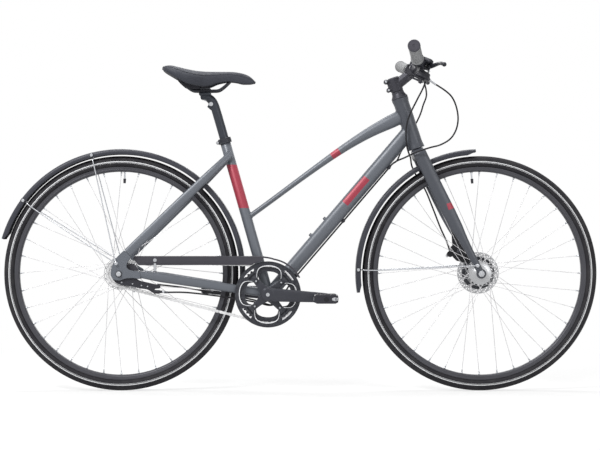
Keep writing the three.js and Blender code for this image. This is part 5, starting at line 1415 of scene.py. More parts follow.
def sprocket(teeth, start):
    """Teeth with round seats for the rollers and short flat tips."""
    radius = pitch_radius(teeth)
    step = 2 * math.pi / teeth
    points = []
    for i in range(teeth):
        seat = start + i * step
        for k in range(-3, 4):
            angle = seat + math.pi - k * math.radians(22)
            centre = polar(radius, math.degrees(seat))
            points.append(polar(SEAT_RADIUS, math.degrees(angle), centre=centre))
        for half_tip in (0.8, -0.8):
            points.append(polar(radius + TOOTH_RISE, math.degrees(seat + step / 2 - half_tip / radius)))
    return flat(points)


def clover(reach, half_width, waist):
    """Four lobes that reach out, drawn in between them, turned with the crank."""
    points = []
    side = [
        (reach * 0.97, half_width * 0.5), (reach * 0.86, half_width * 0.9), (reach * 0.62, half_width * 0.98),
    ]
    lobe = [(waist * math.sqrt(0.5), -waist * math.sqrt(0.5))]
    lobe += [(x, -z) for x, z in side[::-1]] + [(reach, 0)] + side
    for quarter in range(4):
        turn = quarter * math.pi / 2 - CRANK_TILT
        for x, z in lobe:
            points.append((x * math.cos(turn) - z * math.sin(turn), x * math.sin(turn) + z * math.cos(turn)))
    return rounded(points, 9, 5)


ring_plate = prism(sprocket(RING_TEETH, upper_angle), *SPROCKET_FACES, [clover(68, 34, 45)], 0.45)
piece("chainring_toothed", moved(ring_plate, CRANKS), black_metal, "crankset", "chainring")

cog_plate = prism(sprocket(COG_TEETH, cog_start), *SPROCKET_FACES, [circle(20, 40)], 0.45)
driver = lathe(
    [
        (5.4, -37.4), (18.6, -37.4), (20, -38.6), (20, -43.5), (24, -43.9), (24, -46.1), (21, -46.5),
        (21, -48), (19, -51.4), (14, -52), (5.4, -52),
    ],
    60,
)
piece("rear_cog_toothed", moved(merged(cog_plate, driver), REAR), chain_steel, "cog", "rear_cog")

# Guard disc with its windows, slots and bright machined edges

SPIDER_INSIDE = CHAIN_LINE + 1.1 + 0.3
GUARD_INSIDE = SPIDER_INSIDE + 3.6 + 0.3
GUARD_RADIUS = 97.5
ARM_ENDS = 52.5
TRIM_FACES = (-GUARD_INSIDE - 3.35, -GUARD_INSIDE - 2.2)
# The spider's arms point between the forward, up, back and down of the tilted crank
arm_angles = [quarter * 90 + 45 - math.degrees(CRANK_TILT) for quarter in range(4)]


def arc(inner, outer, middle, spread, count):
    """An outline between two radii, spread to both sides of an angle."""
    around = [middle + spread * (2 * k / (count - 1) - 1) for k in range(count)]
    return flat([polar(outer, a) for a in around] + [polar(inner, a) for a in around[::-1]])


slots, trims, guard_bolts, guard_heads = [], [], [], []
window = clover(84, 37, 44)
for middle in arm_angles:
    slots.append(rounded(arc(80.5, 85.5, middle, 12, 5), 2.2, 3))
    slots.append(rounded(arc(70, 73.5, middle, 10, 5), 1.6, 3))
    trims.append(prism(arc(84.6, 86.7, middle, 12.6, 17), *TRIM_FACES, edge=0.2))
    head = polar(ARM_ENDS, middle)
    guard_bolts.append(bolt(basis(at(head.x, -GUARD_INSIDE - 3, head.z), -LEFT), 2.8, 2.2))
    guard_heads.append(cross_rod(head.x, head.z, -GUARD_INSIDE - 1, -GUARD_INSIDE - 3.4, 6.3, 28))
guard = prism(circle(GUARD_RADIUS, 160), -GUARD_INSIDE, -GUARD_INSIDE - 3, [window] + slots, 0.7)
guard = merged(guard, *guard_heads)
piece(
    "chain_guard_disc_cut", moved(guard, CRANKS), black_metal, "crankset", "chain_guard_disc",
)
for quarter in range(4):
    middle = math.radians(quarter * 90) - CRANK_TILT
    rim_of_lobe = [(math.atan2(z, x) - middle, x, z) for x, z in window if math.hypot(x, z) > 58]
    rim_of_lobe = [entry for entry in rim_of_lobe if math.cos(entry[0]) > 0.8]
    near = [(x, z) for turn, x, z in sorted(rim_of_lobe, key=lambda entry: math.sin(entry[0]))]
    outside = [(x * (1 + 2.4 / math.hypot(x, z)), z * (1 + 2.4 / math.hypot(x, z))) for x, z in near]
    trims.append(prism(near + outside[::-1], *TRIM_FACES, edge=0.2))
piece("guard_bright_edges", moved(merged(*trims), CRANKS), bright, "crankset")
piece("guard_bolts", moved(merged(*guard_bolts), CRANKS), silver, "crankset")

# Cranks


def crank_end(side, y):
    """A place on a pedal's axle, from the bottom bracket."""
    return polar(CRANK_LENGTH, -math.degrees(CRANK_TILT) + (180 if side > 0 else 0), y)


def crank_arm(side):
    """A forged arm, thicker in the middle of its face than at its edges."""
    middle = LEFT * (side * 67)
    end = crank_end(side, side * 67)
    along = (end - middle).normalized()
    across = at(-along.z, 0, along.x)
    rows = []
    for i in range(33):
        t = i / 32
        thick = 5.9 if t > 0.08 else 5.0
        rows.append(ring(blend(middle, end, t), across, blend(20.5, 14.2, t), LEFT, thick, 28, 0.7))
    eye = lathe([(4, -5.9), (13, -5.9), (14, -5), (14, 5), (13, 5.9), (4, 5.9)], 48, Matrix.Translation(end))
    return merged(loft(rows), eye)


def spider_arm(degrees):
    """One arm of the spider with the round seat of its bolt."""
    start, end = polar(8, degrees), polar(58.5, degrees)
    across = polar(1, degrees + 90)
    places = [(start, 17), (blend(start, end, 0.5), 10.5), (end, 8.2)]
    outline = [p + across * half for p, half in places] + [p - across * half for p, half in places[::-1]]
    plate = prism(rounded(flat(outline), 6, 4), -SPIDER_INSIDE, -SPIDER_INSIDE - 3.7, edge=0.9)
    seat = polar(ARM_ENDS, degrees)
    return merged(plate, cross_rod(seat.x, seat.z, -SPIDER_INSIDE, -SPIDER_INSIDE - 3.7, 8.2, 30))


for name, side in SIDES:
    parts = [crank_arm(side)]
    if side < 0:
        parts.append(cross_rod(0, 0, -39, -73.5, 18.6, 48, edge=1.5))
        parts += [spider_arm(degrees) for degrees in arm_angles]
    else:
        parts.append(cross_rod(0, 0, 40.5, 73.5, 16.8, 48, edge=1.5))
    piece(
        f"crank_{name}_forged", moved(fused(parts, 1.2, 5), CRANKS), crank_metal,
        "crankset", f"crank_{name}", smooth=50, weld=0,
    )
    bits = [
        rod(crank_end(side, side * 72), crank_end(side, side * 76), 7.4, 6),
        rod(crank_end(side, side * 60.6), crank_end(side, side * 156), 4.6, 28),
        bolt(basis(at(0, side * 73.4, 0), LEFT * side), 5.4, 3),
    ]
    if side < 0:
        bits.append(cross_rod(0, 0, -40, 65, 8.4, 32))
    piece(f"crank_{name}_steel", moved(merged(*bits), CRANKS), silver, "crankset")

# Pedals: a barrel in a cage with raised treads


def pedal(side):
    """The body, and the treads on its four faces."""
    start, end = side * 3, side * 92
    outline = [(-29, -13), (29, -13), (35, -6), (35, 6), (29, 13), (-29, 13), (-35, 6), (-35, -6)]
    body = []
    for y0, y1 in ((start, start + side * 9), (end - side * 10, end)):
        body.append(prism(rounded(outline, 5, 4), y0, y1, edge=1.2))
    for x in (-1, 1):
        body.append(block((x * 27, side * 6, -10.5), (x * 34.8, side * 88, 10.5), edge=1.6))
        for z in (-1, 1):
            body.append(block((x * 14, side * 6, z * 8.2), (x * 30, side * 88, z * 12), edge=1.2))
    body.append(cross_rod(0, 0, side * 4, side * 88, 10.5, 32, edge=1.2))
    for y in (24, 48, 72):
        body.append(block((-28, side * (y - 2.2), -7), (28, side * (y + 2.2), 7), edge=1))
    treads = []
    for i in range(9):
        near, far = side * (9.8 + i * 8.8), side * (14.2 + i * 8.8)
        for z in (-1, 1):
            for x in (-22, 22):
                treads.append(block((x - 6, near, z * 11.6), (x + 6, far, z * 13), edge=0.6))
        for x in (-1, 1):
            treads.append(block((x * 34.2, near, -6), (x * 35, far, 6), edge=0.4))
    return merged(*body), merged(*treads)


for name, side in SIDES:
    place = Matrix.Translation(bottom_bracket + crank_end(side, side * 73))
    body, treads = pedal(side)
    piece(
        f"pedal_{name}_body", moved(body, place), plastic, f"{name}_pedal", f"pedal_{name}",
    )
    piece(f"pedal_{name}_treads", moved(treads, place), grip_rubber_dark, f"{name}_pedal")
    end = basis(at(0, side * 92, 0), LEFT * side)
    caps = lathe([(0, 0), (6.6, 0), (6.6, 1), (5.6, 1.8), (0, 2)], 28, end, closed=False)
    piece(f"pedal_{name}_cap", moved(caps, place), grip_rubber_dark, f"{name}_pedal")
    ends = [block((x * 33.4, side * 14, -4.5), (x * 35.6, side * 80, 4.5), edge=0.8) for x in (-1, 1)]
    for outline in ([(17, -3), (27, -6), (27, 6), (17, 3)], [(29.5, -5), (33, -4), (33, 4), (29.5, 5)]):
        ends.append(prism(outline, side * 91, side * 92.8, edge=0.4))
    piece(f"pedal_{name}_reflectors", moved(merged(*ends), place), silver, f"{name}_pedal")

# Chain cover: a wall with a rolled top, a hoop round the guard and a strap to the chainstay

COVER_INSIDE = 57
COVER_TOP, COVER_BOTTOM, COVER_REAR = 401, 374, -492
HOOP_RADIUS = 107.5
STRAP_AT = -428
cover_front = bottom_bracket.x - 12
beside_guard = [polar(GUARD_RADIUS + 2, degrees, centre=bottom_bracket) for degrees in range(119, 98, -4)]
cover_outline = [
    (COVER_REAR + 16, COVER_BOTTOM), *flat(beside_guard), (cover_front, COVER_TOP - 1),
    (COVER_REAR + 3, COVER_TOP - 1), (COVER_REAR, COVER_TOP - 4), (COVER_REAR, COVER_TOP - 8),
]
rib_outline = [
    (COVER_REAR + 30, COVER_BOTTOM + 6), (cover_front - 50, COVER_BOTTOM + 7.4),
    (cover_front - 50, COVER_BOTTOM + 9.4), (COVER_REAR + 30, COVER_BOTTOM + 8),
]
cover = [
    prism(cover_outline, -COVER_INSIDE, -COVER_INSIDE - 2, edge=0.6),
    prism(rounded(rib_outline, 1, 2), -COVER_INSIDE - 1.5, -COVER_INSIDE - 2.8, edge=0.3),
]
quarter_turn = [math.radians(15 * k) for k in range(7)]
# The section of the rolled top, outer face and then inner face, as (y, z) points
outer_roll, inner_roll = (
    [
        (2 - COVER_INSIDE - radius * math.cos(angle), COVER_TOP - 4 + radius * math.sin(angle))
        for angle in quarter_turn
    ]
    for radius in (4, 2.2)
)
roll = outer_roll + [(6 - CHAIN_LINE, COVER_TOP), (6 - CHAIN_LINE, COVER_TOP - 1.8)] + inner_roll[::-1]
cover.append(loft([[at(x, y, z) for y, z in roll] for x in np.linspace(COVER_REAR + 4, cover_front, 60)]))
tongue = from_axle([(16, 27), (42, 30), (54, 18), (56, 9), (28, 10), (19, 18)])
cover.append(prism(rounded(tongue, 3, 3), -COVER_INSIDE - 0.2, -COVER_INSIDE - 2, edge=0.5))
hoop_rows = []
y0, y1 = -COVER_INSIDE - 2, -COVER_INSIDE + 8
section = [(-4.8, y0 + 0.4), (-4.4, y0), (-0.4, y0), (0, y0 + 0.4)]
section += [(0, y1 - 0.4), (-0.4, y1), (-4.4, y1), (-4.8, y1 - 0.4)]
for i in range(49):
    degrees = blend(97, 28, i / 48)
    drawn = blend(COVER_TOP - bottom_bracket.z - HOOP_RADIUS, 0, min(1, i / 12))
    hoop_rows.append([polar(HOOP_RADIUS + r + drawn, degrees, y, bottom_bracket) for r, y in section])
cover.append(loft(hoop_rows))
strap_top = chainstay_point(STRAP_AT, 0).z + 14.2
for half, near, far, top in ((4, -2, 0, COVER_BOTTOM + 6), (5, -4, 2, strap_top + 2.3)):
    low = (STRAP_AT - half, near - COVER_INSIDE, strap_top + 0.3)
    cover.append(block(low, (STRAP_AT + half, far - COVER_INSIDE, top), edge=0.5))
piece(
    "chain_cover_moulded", merged(*cover), cover_plastic, "frame", "chain_cover", smooth=40,
)
cover_bits = [
    bolt(basis(at(STRAP_AT, -COVER_INSIDE - 2.4, 389), -LEFT), 3.4, 2.4),
    lathe([(2, 0), (5.2, 0), (5.2, 0.8), (2, 1)], 30, basis(at(STRAP_AT, -COVER_INSIDE - 2, 389), -LEFT)),
    block(
        (STRAP_AT - 3.4, -COVER_INSIDE - 3, strap_top + 2),
        (STRAP_AT + 3.4, -COVER_INSIDE - 2, COVER_BOTTOM + 6), edge=0.3,
    ),
]
piece("chain_cover_bolt", merged(*cover_bits), silver, "frame")

# Brakes and the hub's cable joint


def plate_xz(points, y0, y1, holes=(), corner=3.0, edge=0.7):
    return prism(rounded(points, corner, 4), y0, y1, holes, edge)


drum = lathe(
    [
        (5.1, 38), (45, 38), (46.4, 39), (47, 41.5), (46.6, 46), (45, 47), (45, 49), (46, 50), (45.4, 53),
        (43.5, 56.5), (39.5, 59.4), (37, 60), (30, 60), (28.5, 59), (14, 59), (13, 60.6), (9.5, 60.6),
        (5.1, 60.6),
    ],
    96,
)
rib_corners = ((44.6, -1.2), (46.9, -1), (46.9, 1), (44.6, 1.2))
ribs = [
    prism(flat(polar(r, i * 15 + turn) for r, turn in rib_corners), 41.5, 46, edge=0.3) for i in range(24)
]
torque_arm = plate_xz([(-14, -12), (-14, 12), (12, 16), (92, -4), (92, -15), (12, -12)], 49, 53, corner=5)
arm_pivot = at(26, 0, -22)
post = cross_rod(arm_pivot.x, arm_pivot.z, 58, 65, 3)
piece("rear_brake_drum", moved(merged(drum, torque_arm, post, *ribs), REAR), brushed, "frame",
      "rear_brake", smooth=40)
clamp = [
    block((84, 45.6, -19), (90, 49, 4), edge=0.8), bolt(basis(at(87, 53, -9.5), LEFT), 4.2, 3.4),
    nut(basis(arm_pivot + LEFT * 64.3, LEFT), 5, 2.4),
]
piece("rear_brake_clamp", moved(merged(*clamp), REAR), silver, "frame")
arm = plate_xz([(-7, -4), (0, 7), (7, 4), (12, -30), (8, -38), (1, -37), (-3, -28)], 60.5, 64.1,
               [circle(3.5, 20)], corner=4)
arm = merged(arm, bolt(basis(at(5, 64, -33), LEFT), 3.4, 3))
piece("rear_brake_arm_plate", moved(arm, REAR @ Matrix.Translation(arm_pivot)), silver, "rear_brake_pull",
      "rear_brake_arm")

pulley = lathe(
    [
        (5.4, -52.5), (20.5, -52.5), (22, -53.2), (22, -54), (19.8, -54.6), (19.8, -55.4), (22, -56),
        (22, -56.8), (20.5, -57.5), (5.4, -57.5),
    ],
    72,
)
anchor = plate_xz([(-6, -16), (6, -16), (5, -27), (-5, -27)], -53, -57, corner=2)
piece(
    "hub_pulley_grooved", moved(merged(pulley, anchor), REAR), dark_metal, "hub_pulley",
    "shift_pulley",
)
piece(
    "hub_pulley_screw", moved(bolt(basis(at(0, -57, -23), -LEFT), 3, 2), REAR), silver, "hub_pulley",
)
joint = plate_xz(
    [
        (-8, 15), (10, 13), (60, -20), (104, -30), (120, -33), (122, -38), (120, -43), (106, -44), (104, -47),
        (122, -49), (124, -53), (120, -58), (102, -57), (84, -46), (56, -42), (34, -36), (14, -34), (-8, -28),
        (-19, -16), (-18, 8),
    ],
    -58, -67.2, corner=6, edge=1.6,
)
window = plate_xz(
    [(30, -13), (58, -27), (104, -36), (104, -39), (58, -34), (30, -20)], -66.4, -67.6, corner=3, edge=0.3,
)
stop_start, stop_end = at(102, -62.6, -53), at(120, -62.6, -53)
stop = [rod(stop_start, stop_end, 5.4, 20), rod(stop_end, at(132, -62.6, -52.6), 4.2, 20, 3.4)]
piece("shift_joint_arm_moulded", moved(merged(joint, window, *stop), REAR), plastic, "frame",
      "shift_joint_arm")
joint_bits = [rod(at(127, -62.6, -52.7), at(133, -62.6, -52.5), 4.2, 16)]
for x, z in ((8, -25), (40, -29), (66, -34), (84, -37)):
    joint_bits.append(bolt(basis(at(x, -67.2, z), -LEFT), 2.2, 1.6))
piece("shift_joint_fittings", moved(merged(*joint_bits), REAR), silver, "frame")

# Front caliper, its places measured from the front axle, along the blade and across it
caliper_along, caliper_across = polar(1, 127.5), polar(1, 217.5)


def caliper_place(along, across, y=0):
    return caliper_along * along + caliper_across * across + LEFT * y


caliper_outline = [
    (-80, 134), (-77, 84), (-76, 48), (-64, 36), (-44, 32), (-30, 30), (-24, 44), (-36, 84), (-54, 124),
    (-68, 136),
]
caliper_bridge = [(64, -14), (112, -15), (112, 20), (92, 26), (66, 14)]
caliper_screws = [(54, -6), (105, -10), (100, 22)]
pivot = polar(101, 146)
caliper_parts = [
    plate_xz(caliper_outline, 29.2, 35.6, corner=3, edge=1.4),
    plate_xz(caliper_outline, 40.4, 44.4, corner=3, edge=1.4),
    plate_xz(flat(caliper_place(*corner) for corner in caliper_bridge), 33, 42, corner=5),
    cross_rod(pivot.x, pivot.z, 29.4, 44.4, 9, 30), cross_rod(pivot.x, pivot.z, 42, 50.3, 3.2, 20),
]
for place, radius in (((70, 0), 6), ((88, 6), 8.4)):
    caliper_parts.append(rod(caliper_place(*place, 27.6), caliper_place(*place, 31), radius, 30))
piece("front_caliper_cast", moved(merged(*caliper_parts), FRONT), cast_black, "fork_assembly",
      "front_caliper")
caliper_bits = [bolt(basis(caliper_place(*place, 29.2), -LEFT), 3.6, 2.6) for place in caliper_screws]
knob_profile = [(0, 0), (5.2, 0), (5.6, 0.6), (4.6, 1.4), (0, 1.6)]
caliper_bits.append(lathe(knob_profile, 30, basis(caliper_place(88, 6, 27.6), -LEFT), closed=False))
piece("front_caliper_bolts", moved(merged(*caliper_bits), FRONT), dark_metal, "fork_assembly")
arm = plate_xz(
    [(-2, -6.5), (6, -4), (6, 4), (-2, 6.5), (-9, 3), (-13, -6), (-9, -11)], 45, 49, [circle(3.7, 20)],
    corner=2.5,
)
arm = merged(arm, bolt(basis(at(-9, 49, -6), LEFT), 2.8, 2.6))
piece("front_brake_arm_plate", moved(arm, FRONT @ Matrix.Translation(pivot)), silver, "front_brake_pull",
      "front_brake_arm")

# Fenders with rolled edges, and their stays


def fender(start, end, half_at, steps):
    rows = []
    for i in range(steps + 1):
        degrees = blend(start, end, i / steps)
        half = half_at(degrees)
        # The skirt runs up in a curve at both ends
        low = FENDER_SKIRT - FENDER_RADIUS + max(0, 3 - min(i, steps - i)) * 2.6
        outer = [
            (low - 0.6, -half + 0.4), (low + 0.8, -half - 0.3), (-9, -half), (-5, -half * 0.985),
            (-2, -half * 0.88), (-0.2, -half * 0.66), (0.4, -half * 0.34), (0.6, 0),
        ]
        inner = [(low - 0.6, half - 1.8), (-7, half - 2), (-3.6, half * 0.84), (-2, half * 0.6), (-1.7, 0)]
        outline = [point for face in (outer, inner) for point in face + [(r, -y) for r, y in face[-2::-1]]]
        rows.append([polar(FENDER_RADIUS + r, degrees, y) for r, y in outline])
    return loft(rows)


def rear_half(degrees):
    """Half the rear fender's width, narrow between the chainstays."""
    return 19.5 if degrees < 8 else min(FENDER_HALF, 19.5 + (degrees - 8) * 0.7)


piece(
    "rear_fender_rolled", moved(fender(-6, 163.7, rear_half, 150), REAR), fender_plastic, "frame",
    "rear_fender", smooth=40,
)
piece(
    "front_fender_rolled", moved(fender(92, 189, lambda degrees: FENDER_HALF, 90), FRONT), fender_plastic,
    "fork_assembly", "front_fender", smooth=40,
)


def stay_loop(eyelet, degrees):
    """A wire from an eyelet, outside the fender, over under its crown and back to the other eyelet."""
    outside = FENDER_HALF + 0.3 + 1.8
    second = blend(eyelet, polar(FENDER_SKIRT - 30, degrees, outside), 0.12)
    second.y = eyelet.y - 0.5
    bends = ((-40, outside + 3), (-5, outside - 2), (-4, 19), (3, 12), (9.3, 4))
    half = [eyelet, second] + [polar(FENDER_SKIRT + rise, degrees, y) for rise, y in bends]
    return wire(half + flipped(half[::-1]), 1.75, 12, 150)


def eyelets(eyelet):
    profile = [
        (0, 0), (5.4, 0), (5.4, 0.8), (3, 1), (3, 4), (4.6, 4.2), (4.6, 6.8), (4, 7.4), (2.2, 7.4),
        (2.2, 5.6), (0, 5.6),
    ]
    places = [basis(on_side(eyelet - LEFT * 2.2, side), LEFT * side) for side in (-1, 1)]
    return merged(*(lathe(profile, 28, place, closed=False) for place in places))


def stay_nuts(degrees):
    """The clips that hold a stay to the fender's edges, each with a bright nut outside."""
    clips, nuts = [], []
    for side in (-1, 1):
        place = basis(polar(FENDER_RADIUS - 8, degrees, side * 24.6), LEFT * side, polar(1, degrees))
        clips.append(block((-7, 0, -6), (7, 2.4, 6), place, 1))
        nuts.append(lathe([(0, 2), (4.6, 2), (4.6, 4.4), (3.8, 5.2), (0, 5.4)], 24, place, closed=False))
    return merged(*clips), merged(*nuts)


# Each fender's stays: the eyelet beside the axle and the angles of the loops
STAYS = (
    ("rear", REAR, "frame", at(-8, 76, 31), (103.8, 143.2)),
    ("front", FRONT, "fork_assembly", at(-12, 66.2, 24), (178.3,)),
)
for name, place, body, eyelet, angles in STAYS:
    loops = merged(*(stay_loop(eyelet, degrees) for degrees in angles), eyelets(eyelet))
    node = f"{name}_fender_stays"
    piece(f"{name}_stays_round", moved(loops, place), silver, body, node, smooth=60)
for name, place, body, eyelet, angles in STAYS:
    made = [stay_nuts(degrees) for degrees in angles]
    piece(f"{name}_stay_clips", moved(merged(*(m[0] for m in made)), place), black_metal, body)
    piece(f"{name}_stay_nuts", moved(merged(*(m[1] for m in made)), place), silver, body)

# Seat clamp, post and rails

clamp_profile = [
    (16, -11), (19.4, -11), (20, -10.4), (20, -1), (19.6, 3), (18.6, 4), (14.2, 4), (14.2, 0.4), (16, 0.4),
]
collar = lathe(clamp_profile, 56, basis(seat_point(SEAT_TUBE_LENGTH), seat_direction))
ear = seat_point(SEAT_TUBE_LENGTH - 4, 22)
lug = [
    rod(seat_point(SEAT_TUBE_LENGTH - 4, 17), seat_point(SEAT_TUBE_LENGTH - 4, 23), 5, 20),
    cross_rod(ear.x, ear.z, -8, 8, 4.6, 24),
]
piece("seat_clamp_collar", merged(collar, *lug), black_metal, "frame", "seat_clamp")
clamp_bolts = [bolt(basis(ear + LEFT * side * 7.6, LEFT * side), 4, 3.2) for side in (-1, 1)]
piece("seat_clamp_bolt", merged(*clamp_bolts), silver, "frame")

post_rows = tube_rows([
    seat_point(SEAT_TUBE_LENGTH - 179), seat_point(560), seat_point(584, 1), seat_point(598, 4),
    at(CLAMP_CENTRE + 6, 0, RAIL_HEIGHT - 17),
], 60, 36, lambda t: (13.6 if t < 0.93 else blend(13.6, 12.2, (t - 0.93) / 0.07), 13.6))
cradle_parts = [
    loft(post_rows[-8:]),
    block((CLAMP_CENTRE - 19, -26, RAIL_HEIGHT - 14), (CLAMP_CENTRE + 17, 26, RAIL_HEIGHT - 4.1), edge=3),
    block((CLAMP_CENTRE - 15, -16, RAIL_HEIGHT - 26), (CLAMP_CENTRE + 12, 16, RAIL_HEIGHT - 8), edge=3),
    rod(seat_point(574, 10), seat_point(588, 19), 5, 20),
]
cradle = fused(cradle_parts, 1.1, 5)
piece(
    "seatpost_smooth", merged(loft(post_rows), cradle), post_metal, "seat", "seatpost",
    smooth=50, weld=0,
)
post_bits = [
    rod(seat_point(589, 9, -14.9), seat_point(589, 9, 14.9), 6.4, 28),
    rod(seat_point(581, 13), seat_point(592, 15), 4.4, 24),
    bolt(basis(at(CLAMP_CENTRE, 0, RAIL_HEIGHT - 26), -UP), 4.4, 3),
]
piece("seatpost_bolts", merged(*post_bits), silver, "seat")

bottom = RAIL_HEIGHT + 3.8
clamp_parts = [
    block((CLAMP_CENTRE - half, y0, bottom + rise), (CLAMP_CENTRE + half, y1, bottom + top), edge=1.8)
    for half, y0, y1, rise, top in ((15, -27, -17, 0, 5.4), (15, 17, 27, 0, 5.4), (9, -20, 20, 0.8, 6))
]
clamp_parts += [
    rod(at(CLAMP_CENTRE, 0, RAIL_HEIGHT - 14), at(CLAMP_CENTRE, 0, bottom + 3), 3, 16),
]
piece("rail_clamp_plate", merged(*clamp_parts), black_metal, "seat", "rail_clamp")

half_rail = [
    at(CLAMP_CENTRE + x, y, RAIL_HEIGHT + z)
    for x, y, z in (
        (-85, 36, 47), (-64, 28, 20), (-39, 23, 2), (-24, 22, 0), (0, 22, 0), (24, 22, 0), (41, 21, 2),
        (67, 14, 22), (77, 5, 32.5),
    )
]
rails = wire(half_rail + flipped(half_rail[::-1]), 3.5, 16, 180)
piece("saddle_rails_round", rails, black_metal, "seat", "saddle_rails", smooth=60)

# Saddle: a padded shell with a stitched seam round it and a long hollow down the middle

SADDLE_HALF = 74
SADDLE_BACK, SADDLE_NOSE, SADDLE_ROWS = -409, -134, 75
SEAM_STEPS = 300
# At each place along the saddle: the top's height, half the width, the edge's height and the underside's
saddle_sections = [
    (-409, 960, 30, 952, 953), (-402, 965.5, 52, 947, 953), (-388, 967.5, 66, 939, 947),
    (-362, 962.5, 74, 924, 940), (-335, 956, 73, 910, 932), (-305, 951, 62, 903, 925),
    (-285, 949.5, 50, 901, 922), (-268, 949, 42, 904, 923), (-245, 949, 33, 913, 926),
    (-210, 949, 25, 918, 927), (-190, 947.5, 22.5, 916, 925), (-170, 943.5, 20.5, 911.5, 921),
    (-152, 936, 18, 911.5, 918), (-140, 926, 14, 913, 916), (-133, 917.5, 7, 914, 914.5),
]


def smooth_value(index, x):
    """A value of the saddle's sections at x, on a curve through them."""
    xs = [section[0] for section in saddle_sections]
    ys = [section[index] for section in saddle_sections]
    i = min(max(np.searchsorted(xs, x) - 1, 0), len(xs) - 2)
    x0, x1 = xs[i], xs[i + 1]
    t = (x - x0) / (x1 - x0)

    def slope(k):
        if k == 0 or k == len(xs) - 1:
            a, b = (0, 1) if k == 0 else (-2, -1)
            return (ys[b] - ys[a]) / (xs[b] - xs[a])
        before = (ys[k] - ys[k - 1]) / (xs[k] - xs[k - 1])
        after = (ys[k + 1] - ys[k]) / (xs[k + 1] - xs[k])
        return 0 if before * after <= 0 else 2 * before * after / (before + after)

    h = x1 - x0
    a = 2 * t ** 3 - 3 * t ** 2 + 1
    b = t ** 3 - 2 * t ** 2 + t
    c = -2 * t ** 3 + 3 * t ** 2
    d = t ** 3 - t ** 2
    return a * ys[i] + b * h * slope(i) + c * ys[i + 1] + d * h * slope(i + 1)


def saddle_row(x):
    """A section of the saddle. Its outline is in shares of half its width, from the top to the underside."""
    top, width, edge, under = (smooth_value(k, x) for k in (1, 2, 3, 4))
    hollow = 2.6 * math.exp(-((x + 285) / 75) ** 2)
    wide = width / SADDLE_HALF
    side = top - edge
    outline = [
        (0.0, top - 0.4 - hollow), (0.14, top - 0.5 - hollow * 0.72), (0.3, top - 0.7),
        (0.48, top - 1.4 - 1.2 * wide), (0.66, top - 1.2 - 4 * wide),
        (0.8, top - 2.4 - 0.13 * side - 2.4 * wide), (0.9, top - 0.31 * side), (0.97, top - 0.46 * side),
        (1.0, top - 0.62 * side), (0.995, top - 0.8 * side), (0.975, edge + 0.07 * side), (0.95, edge),
        (0.9, edge - 0.2), (0.86, blend(edge, under, 0.25)), (0.72, blend(edge, under, 0.6)),
        (0.5, blend(edge, under, 0.9)), (0.3, under), (0.0, under),
    ]
    left = [at(x, share * width, z) for share, z in outline]
    return left + flipped(left[-2:0:-1])


def saddle_cover():
    """Dark leather cloth with a fine net of grain in slow patches of tone."""
    tree = Tree(bpy.data.materials.new("saddle_cover"))
    cells = tree.node(
        "ShaderNodeTexVoronoi", {"Vector": tree.position(), "Scale": 520.0}, feature="DISTANCE_TO_EDGE"
    )
    grain = tree.ranged(cells.outputs["Distance"], 0, 1, 0.0, 0.12)
    slow = tree.ranged(tree.noise(16, 4.0), 0, 1)
    tone = tree.mix(slow, linear((52, 54, 62)), linear((64, 66, 75)))
    tone = tree.mix(tree.math("MULTIPLY", grain, 0.6), linear((40, 42, 49)), tone)
    rough = tree.ranged(tree.noise(60, 4.0), 0.5, 0.64)
    tree.set(Base_Color=tone, Roughness=rough, Specular_IOR_Level=0.3)
    tree.bump(grain, 0.3, 0.00025)
    return tree.owner


cover_material = saddle_cover()
saddle_rows = [
    saddle_row(blend(SADDLE_BACK, SADDLE_NOSE, 0.5 - 0.5 * math.cos(math.pi * i / (SADDLE_ROWS - 1))))
    for i in range(SADDLE_ROWS)
]
saddle_mesh = through_modifiers(
    mesh_from(loft(saddle_rows), "saddle_form", smooth=180), ("SUBSURF", {"levels": 1, "render_levels": 1})
)
saddle = piece("saddle_padded", saddle_mesh, cover_material, "seat", "saddle")

# The seam and its stitches follow the cover just above its widest line
left_seam = [row[6] for row in saddle_rows[2:-1]]
seam_points = left_seam + flipped(left_seam[::-1])
seam_centres, seam_tangents = spline(seam_points[::2], SEAM_STEPS, closed=True)
seam_outward = [at(0, 1 if p.y > 0 else -1, 0.35).normalized() for p in seam_centres]
piping = wire([p - o * 0.35 for p, o in zip(seam_centres, seam_outward)][::2], 0.85, 10, 420, closed=True)
piece("saddle_piping", piping, cover_material, "seat")
stitches = []
for i in range(0, SEAM_STEPS, 2):
    middle = seam_centres[i] + UP * 2.1
    if abs(middle.y) > 8:
        middle -= seam_outward[i] * 0.25
    half_stitch = seam_tangents[i] * 1.1
    stitches.append(rod(middle - half_stitch, middle + half_stitch, 0.35, 6, edge=0.1))
piece("saddle_stitches", merged(*stitches), grip_rubber_dark, "seat")
outline = [(-372, 944), (-362, 918), (-344, 902), (-322, 896.5), (-297, 896.5), (-298, 912), (-340, 934)]
supports = [plate_xz(outline, side * 24, side * 31, corner=4, edge=1.4) for side in (-1, 1)]
piece("saddle_rear_supports", merged(*supports), plastic, "seat")
shell_rows = [
    [at(p.x, p.y * 0.93, p.z - 0.6) for p in row[13:22]] + [
        at(p.x, p.y * 0.93, p.z + 2) for p in row[21:12:-1]
    ]
    for row in saddle_rows[4:-5]
]
piece("saddle_shell", loft(shell_rows), plastic, "seat")

